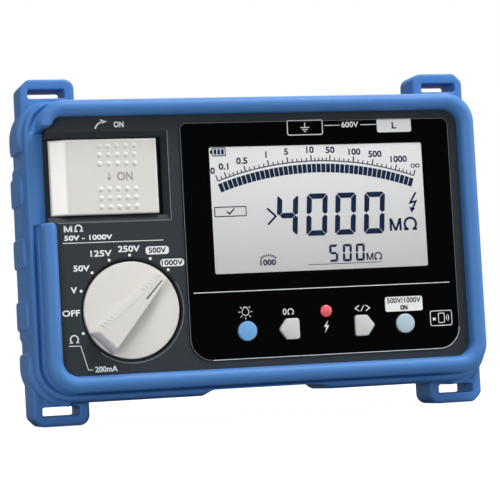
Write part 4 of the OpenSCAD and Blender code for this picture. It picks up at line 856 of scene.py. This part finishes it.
def lever_shells():
    """Lever top z = top - slope - edge + domes, its block, the hinge barrel and the plunger. The slope
    is fall / long (p + sqrt(p^2 + soft^2)) / 2 at p past its start, the edge a quarter round, and a
    dome the part of a ball that stands above the face."""
    x0, x1, y0, y1 = lever_lo[0], lever_hi[0], lever_lo[1], lever_hi[1]
    fine = np.array([0, 0.04, 0.12, 0.24, 0.4, 0.6])
    x = np.concatenate([x0 + fine, np.linspace(x0 + 0.9, x1 - 0.9, 138), x1 - fine[::-1]])
    y = np.concatenate([y0 + fine, np.linspace(y0 + 0.9, y1 - 0.9, 96), y1 - fine[::-1]])
    gx, gy = np.meshgrid(x, y, indexing="ij")
    past = x0 + slope_long - gx
    slope = slope_fall / slope_long * (past + np.hypot(past, slope_soft)) / 2
    near = np.minimum(np.minimum(gx - x0, x1 - gx), np.minimum(gy - y0, y1 - gy))
    edge = lever_edge - np.sqrt(lever_edge ** 2 - (lever_edge - np.minimum(near, lever_edge)) ** 2)
    mid = (y0 + y1) / 2
    domes = 0 * gx
    rows = 5 + dome_pitch * np.arange(3)
    for cx in x1 - 9 - dome_pitch * np.arange(5):
        for cy in mid + np.concatenate([-rows, rows]):
            away = np.minimum((gx - cx) ** 2 + (gy - cy) ** 2, dome_r ** 2)
            domes = np.maximum(domes, np.sqrt(dome_ball ** 2 - away) - dome_ball + dome_high)
    cap = block_shell(x, y, lever_top - slope - edge + domes, lever_under)
    barrel, barrel_quads = lathe([(0, y0), (barrel_r, y0), (barrel_r, y1), (0, y1)], 40)
    barrel = np.stack([barrel[..., 0] + x1 - hinge_in, barrel[..., 2], barrel[..., 1] - hinge_deep], -1)
    ends = np.array([-plunger_half, plunger_half])
    plunger = block_shell(x1 - plunger_in + ends, mid + ends, plunger_top, lever_lo[2])
    return [cap, (barrel, barrel_quads), plunger]


ivory = moulded("ivory_plastic", (226, 223, 217), 0.3, scale=2600, mottle=0.05, relief=0.004, shine=0.75)
lever = piece("lever_cap", lever_shells(), ivory, 30)
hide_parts("measure_lever")
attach(lever, "lever")
grey_ink = moulded("grey_ink", (172, 165, 156), 0.5, scale=3000, mottle=0.1, shine=0.2)
press_x, press_y = lever_hi[0] - 19.5, (lever_lo[1] + lever_hi[1]) / 2
press = [stroke([(press_x, press_y + 1.6), (press_x, press_y - 0.6)], 0.4),
         filled([(press_x - 1.0, press_y - 0.4), (press_x, press_y - 1.8), (press_x + 1.0, press_y - 0.4)]),
         letters("ON", press_x + 3.2, press_x + 9.4, press_y - 1.7, 3.4, 0.1)]
printed("lever_print", press, lever_top + ink_lift, grey_ink, "lever")

# Range knob
# Ivory knob pressed on the switch shaft: a flat disc that fills its recess and a tapered grip bar
# with sloped sides, ribbed on the upper left one. A thin dark inlay along the bar marks the range.
disc_z, disc_r, disc_edge = -0.5, knob_r + 0.3, 0.5
bar_tail, bar_tip, bar_foot = -18.2, 17.4, disc_z - 0.2
# half widths at the bar's tail and what they lose up to its tip, on the crest's side and the other one
crest_wide, crest_taper, plain_wide, plain_taper = 4.8, 3.5, 5.7, 4.1
crest_rise, crest_half, slope_wide = 0.25, 0.32, 1.9
rib_pitch, rib_half, rib_deep, rib_starts = 1.65, 0.3, 1.2, (-13.6, 7.6)
along, across = np.sqrt(0.5) * np.array([[1, 1], [1, -1]])


def rise(s, p):
    """A rounded rise 1 - (1 - s)^p from 0 at s = 0 to 1 at s = 1."""
    return 1 - (1 - np.clip(s, 0, 1)) ** p


def knob_disc():
    """The disc by a lathe, with a quarter round at its edge."""
    face = [(disc_r * f, disc_z) for f in (0, 0.3, 0.6, 0.85)]
    edge = arc(disc_r - disc_edge, disc_z - disc_edge, disc_edge, 90, 0, 7)
    return lathe(np.concatenate([face, edge, [(disc_r, knob_lo[2]), (0, knob_lo[2])]]), 96)


def knob_bar():
    """The bar as a height field over its tapered foot, in u along it and v to its upper left: the
    product of one rise per side and end, in the way inwards from there, less ribs exp(-(du / half)^4)
    on the upper left slope, and with a crest exp(-(dv / half)^2) along that slope's upper edge."""
    tail, tip = bar_tail, bar_tip
    u = np.concatenate([np.linspace(tail, tail + 3, 22), np.linspace(tail + 3, tip - 2, 240)[1:],
                        np.linspace(tip - 2, tip, 16)[1:]])
    q = np.concatenate([np.linspace(-1, 1, 41), np.linspace(-1, -0.7, 12), np.linspace(0.5, 1, 31)])
    q = np.unique(q)
    gu, gq = np.meshgrid(u, q, indexing="ij")
    share = (gu - tail) / (tip - tail)
    half, crest_q = crest_wide - crest_taper * share, 0.6
    left, right = half + slope_wide, plain_wide - plain_taper * share
    on_slope = np.maximum(gq - crest_q, 0) / (1 - crest_q) * slope_wide
    gv = np.where(gq > 0, np.minimum(gq / crest_q, 1) * half + on_slope, gq * right)
    sides = rise((left - gv) / 2.2, 1.5) * rise((right + gv) / 0.9, 2.6)
    tail_end = 0.45 * rise((gu - tail) / 0.3, 2) + 0.55 * rise((gu - tail) / 2.2, 1.8)
    ends = tail_end * rise((tip - gu) / 1.2, 2.6)
    ribs = 0 * gu
    for at in np.add.outer(rib_starts, rib_pitch * np.arange(5)).ravel():
        ribs = ribs + np.exp(-((gu - at) / rib_half) ** 4)
    slope = step(gv, half, half + 0.3) * step(gv, left, left - 0.3)
    crest = crest_rise * np.exp(-((gv - half) / crest_half) ** 2) * ends
    height = knob_hi[2] - crest_rise - bar_foot
    z = bar_foot + height * sides * ends + crest - rib_deep * ribs * slope * sides
    points, quads = block_shell(u, q, z, bar_foot - 0.1)
    points[..., :2] = gu[..., None] * along - gv[..., None] * across
    return points, quads


knob_shells = [(points + np.append(knob_axis, 0), quads) for points, quads in (knob_disc(), knob_bar())]
knob = piece("knob_cap", knob_shells, ivory, 42)
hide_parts("range_knob")
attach(knob, "knob")
index_dark = moulded("index_dark", (92, 88, 82), 0.5, scale=1500, mottle=0.2)
index = [knob_axis + u * along + v * across for u, v in ((5.5, 0.0), (14.9, -0.3), (15.5, 0.15), (5.9, 0.7))]
index_z = knob_hi[2] - crest_rise + ink_lift / 2
printed("index_line", [filled(index)], index_z, index_dark, "knob")
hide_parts("knob_index")

# Buttons
# Four moulded caps that rise a little from the plate: round ones at the ends of the row and two
# pointed ones between them. A flange under the panel keeps each one in.
cap_flange, cap_foot = 1, -3.4
cap_edge_in, cap_edge_rise, cap_dome = 0.12, 0.5, 0.25


def button(node, body, tint, point):
    """A cap over its outline as rows of (share s of the outline, z): a straight wall from the foot, a
    quarter round in to s = 0.88, and a low dome z = top - 0.25 (s / 0.88)^2. The outline is a circle, or
    a pentagon that points left or right where `point` is -1 or 1."""
    lo, hi = panel_box(node)
    half, top = (hi[1] - lo[1]) / 2 - cap_flange, hi[2]
    if point:
        neck = 0.28 * half
        corners = [(-half, -half, 1.2), (neck, -half, 1.4), (half, 0, 1), (neck, half, 1.4),
                   (-half, half, 1.2)]
        ring = rounded_ring(corners, (6,) * 5) * np.array([point, 1])
    else:
        a = np.linspace(0, 2 * np.pi, 48, endpoint=False)
        ring = half * np.stack([np.cos(a), np.sin(a)], -1)
    edge_z = top - cap_dome - cap_edge_rise
    rows = [(0, cap_foot), (1, cap_foot), (1, edge_z)]
    rows += [(1 - cap_edge_in * (1 - np.cos(b)), edge_z + cap_edge_rise * np.sin(b))
             for b in np.linspace(0.2, np.pi / 2, 6)]
    rows += [(s, top - cap_dome * (s / (1 - cap_edge_in)) ** 2) for s in (0.7, 0.5, 0.3, 0.1, 0)]
    cap = piece(node + "_cap", [stacked(ring, (lo + hi)[:2] / 2, rows)], tint, 35)
    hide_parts(node)
    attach(cap, body)


grey_cap = moulded("grey_cap", (205, 207, 204), 0.4, scale=2600, mottle=0.05)
blue_cap = moulded("blue_cap", (112, 169, 223), 0.4, scale=2600, mottle=0.05)
slate_cap = moulded("slate_cap", (180, 201, 212), 0.4, scale=2600, mottle=0.05)
button("backlight_button", "backlight_key", blue_cap, 0)
button("zero_adjust_button", "zero_adjust_key", grey_cap, -1)
button("comparator_button", "comparator_key", grey_cap, 1)
button("release_button", "release_key", slate_cap, 0)

# Warning lamp
# Red diffused lamp that stands on the board by its two legs. Its foot lies under the panel, and its
# dome shows through the plate.
lamp_lo, lamp_hi = panel_box("warning_led")
lamp_at = (lamp_lo + lamp_hi)[:2] / 2
lens_r, lens_foot_r, lens_foot_z, lens_low, dome_low = 2.4, 2.9, -4.4, -2.4, 0.3
climb = np.linspace(0, np.pi / 2, 9)
lens_dome = np.stack([lens_r * np.cos(climb), dome_low + (lamp_hi[2] - dome_low) * np.sin(climb)], -1)
lens_foot = [(0, lens_foot_z), (lens_foot_r, lens_foot_z), (lens_foot_r, lens_low), (lens_r, lens_low)]
lens_points, lens_quads = lathe(np.concatenate([lens_foot, lens_dome]), 40)
lamp_red = moulded("lamp_red", (214, 90, 100), 0.25, scale=600, mottle=0.15)
lamp_face = lamp_red.node_tree.nodes["Principled BSDF"]
lamp_face.inputs["Emission Color"].default_value = linear(255, 90, 105)
lamp_face.inputs["Emission Strength"].default_value = 0.15
lens = piece("lamp_lens", [(lens_points + np.append(lamp_at, 0), lens_quads)], lamp_red, 40)
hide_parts("warning_led")
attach(lens, "tester")

# Floor, light and camera
# A white sweep under soft studio light, seen from the left and a little below the panel's middle. The
# world is white where the camera, a gloss or a pane looks at it, but a gloss that looks towards the
# rear left finds it darker, as a side wall of the studio would be.
floor_half, floor_z = 6, -2e-4
floor_corners = [(x * floor_half, y * floor_half, floor_z) for x, y in ((-1, -1), (1, -1), (1, 1), (-1, 1))]
floor_mesh = bpy.data.meshes.new("floor")
floor_mesh.from_pydata(floor_corners, [], [(0, 1, 2, 3)])
floor = bpy.data.objects.new("floor", floor_mesh)
bpy.context.scene.collection.objects.link(floor)
sweep = moulded("white_sweep", (160, 160, 160), 0.9, scale=3, mottle=0.01, shine=0)
sweep_rays = sweep.node_tree.nodes.new("ShaderNodeLightPath")
sweep_face = sweep.node_tree.nodes["Principled BSDF"]
sweep_face.inputs["Emission Color"].default_value = (0.93, 0.93, 0.93, 1)
sweep.node_tree.links.new(sweep_rays.outputs["Is Camera Ray"], sweep_face.inputs["Emission Strength"])
floor_mesh.materials.append(sweep)

world = bpy.data.worlds.new("studio")
bpy.context.scene.world = world
world.use_nodes = True
sky = world.node_tree
soft = sky.nodes["Background"]
soft.inputs["Color"].default_value = (1, 1, 1, 1)
soft.inputs["Strength"].default_value = 0.2
white = sky.nodes.new("ShaderNodeBackground")
white.inputs["Color"].default_value = (1, 1, 1, 1)
ray = sky.nodes.new("ShaderNodeLightPath")
way, toward, dimmed = (sky.nodes.new("ShaderNode" + kind) for kind in ("TexCoord", "VectorMath", "MapRange"))
toward.operation = "DOT_PRODUCT"
toward.inputs[1].default_value = (-0.5, 0.87, 0)
for socket, value in (("From Min", 0.7), ("From Max", 0.92), ("To Min", 1), ("To Max", 0.1)):
    dimmed.inputs[socket].default_value = value
in_gloss = sky.nodes.new("ShaderNodeMath")
in_gloss.operation = "MULTIPLY"
sky.links.new(way.outputs["Generated"], toward.inputs[0])
sky.links.new(toward.outputs["Value"], dimmed.inputs["Value"])
sky.links.new(dimmed.outputs[0], in_gloss.inputs[0])
sky.links.new(ray.outputs["Is Glossy Ray"], in_gloss.inputs[1])
seen = ray.outputs["Is Camera Ray"]
for kind in (in_gloss.outputs[0], ray.outputs["Is Transmission Ray"]):
    both = sky.nodes.new("ShaderNodeMath")
    both.operation = "MAXIMUM"
    sky.links.new(seen, both.inputs[0])
    sky.links.new(kind, both.inputs[1])
    seen = both.outputs[0]
choice = sky.nodes.new("ShaderNodeMixShader")
sky.links.new(seen, choice.inputs["Fac"])
sky.links.new(soft.outputs[0], choice.inputs[1])
sky.links.new(white.outputs[0], choice.inputs[2])
sky.links.new(choice.outputs[0], sky.nodes["World Output"].inputs["Surface"])

lit_point = Vector((0, 0, 0.07))


def softbox(name, place, size, watts):
    """A square area light at `place`, in metres, that looks at the middle of the object."""
    lamp = bpy.data.lights.new(name, "AREA")
    lamp.size = size
    lamp.energy = watts
    holder = bpy.data.objects.new(name, lamp)
    holder.location = place
    holder.rotation_euler = (lit_point - Vector(place)).to_track_quat("-Z", "Y").to_euler()
    bpy.context.scene.collection.objects.link(holder)


softbox("key", (0.34, -0.72, 1.22), 0.6, 4.4)
softbox("top", (0.3, -0.34, 1.12), 0.34, 8)
softbox("right", (1.0, -0.3, 0.45), 0.5, 4.5)
softbox("fill", (-0.72, -1.1, 0.08), 0.45, 7.6)
softbox("rear", (0.4, 0.9, 1.2), 0.8, 6)

# the camera's turn from straight before the panel, and its aim in its own metres right, down and ahead
roll, pitch, yaw = (radians(degrees) for degrees in (-3.11, -3.3, -15.61))
turned = Matrix.Rotation(roll, 3, "Z") @ Matrix.Rotation(pitch, 3, "X") @ Matrix.Rotation(yaw, 3, "Y")
to_scene = Matrix(((1, 0, 0), (0, 0, 1), (0, -1, 0)))
right, down, ahead = (to_scene @ row for row in turned)
aim = middle - Vector((0, 0, 0.0008))
aim_in_view = Vector((0.0061, -0.0035, 0.7974))
eye = to_scene @ -(turned.transposed() @ aim_in_view) + aim
camera = bpy.data.objects.new("camera", bpy.data.cameras.new("camera"))
camera.matrix_world = Matrix((right, -down, -ahead)).transposed().to_4x4()
camera.location = eye
camera.data.lens = 144
camera.data.clip_start = 0.01
bpy.context.scene.collection.objects.link(camera)
bpy.context.scene.camera = camera
bpy.context.scene.view_settings.view_transform = "Standard"
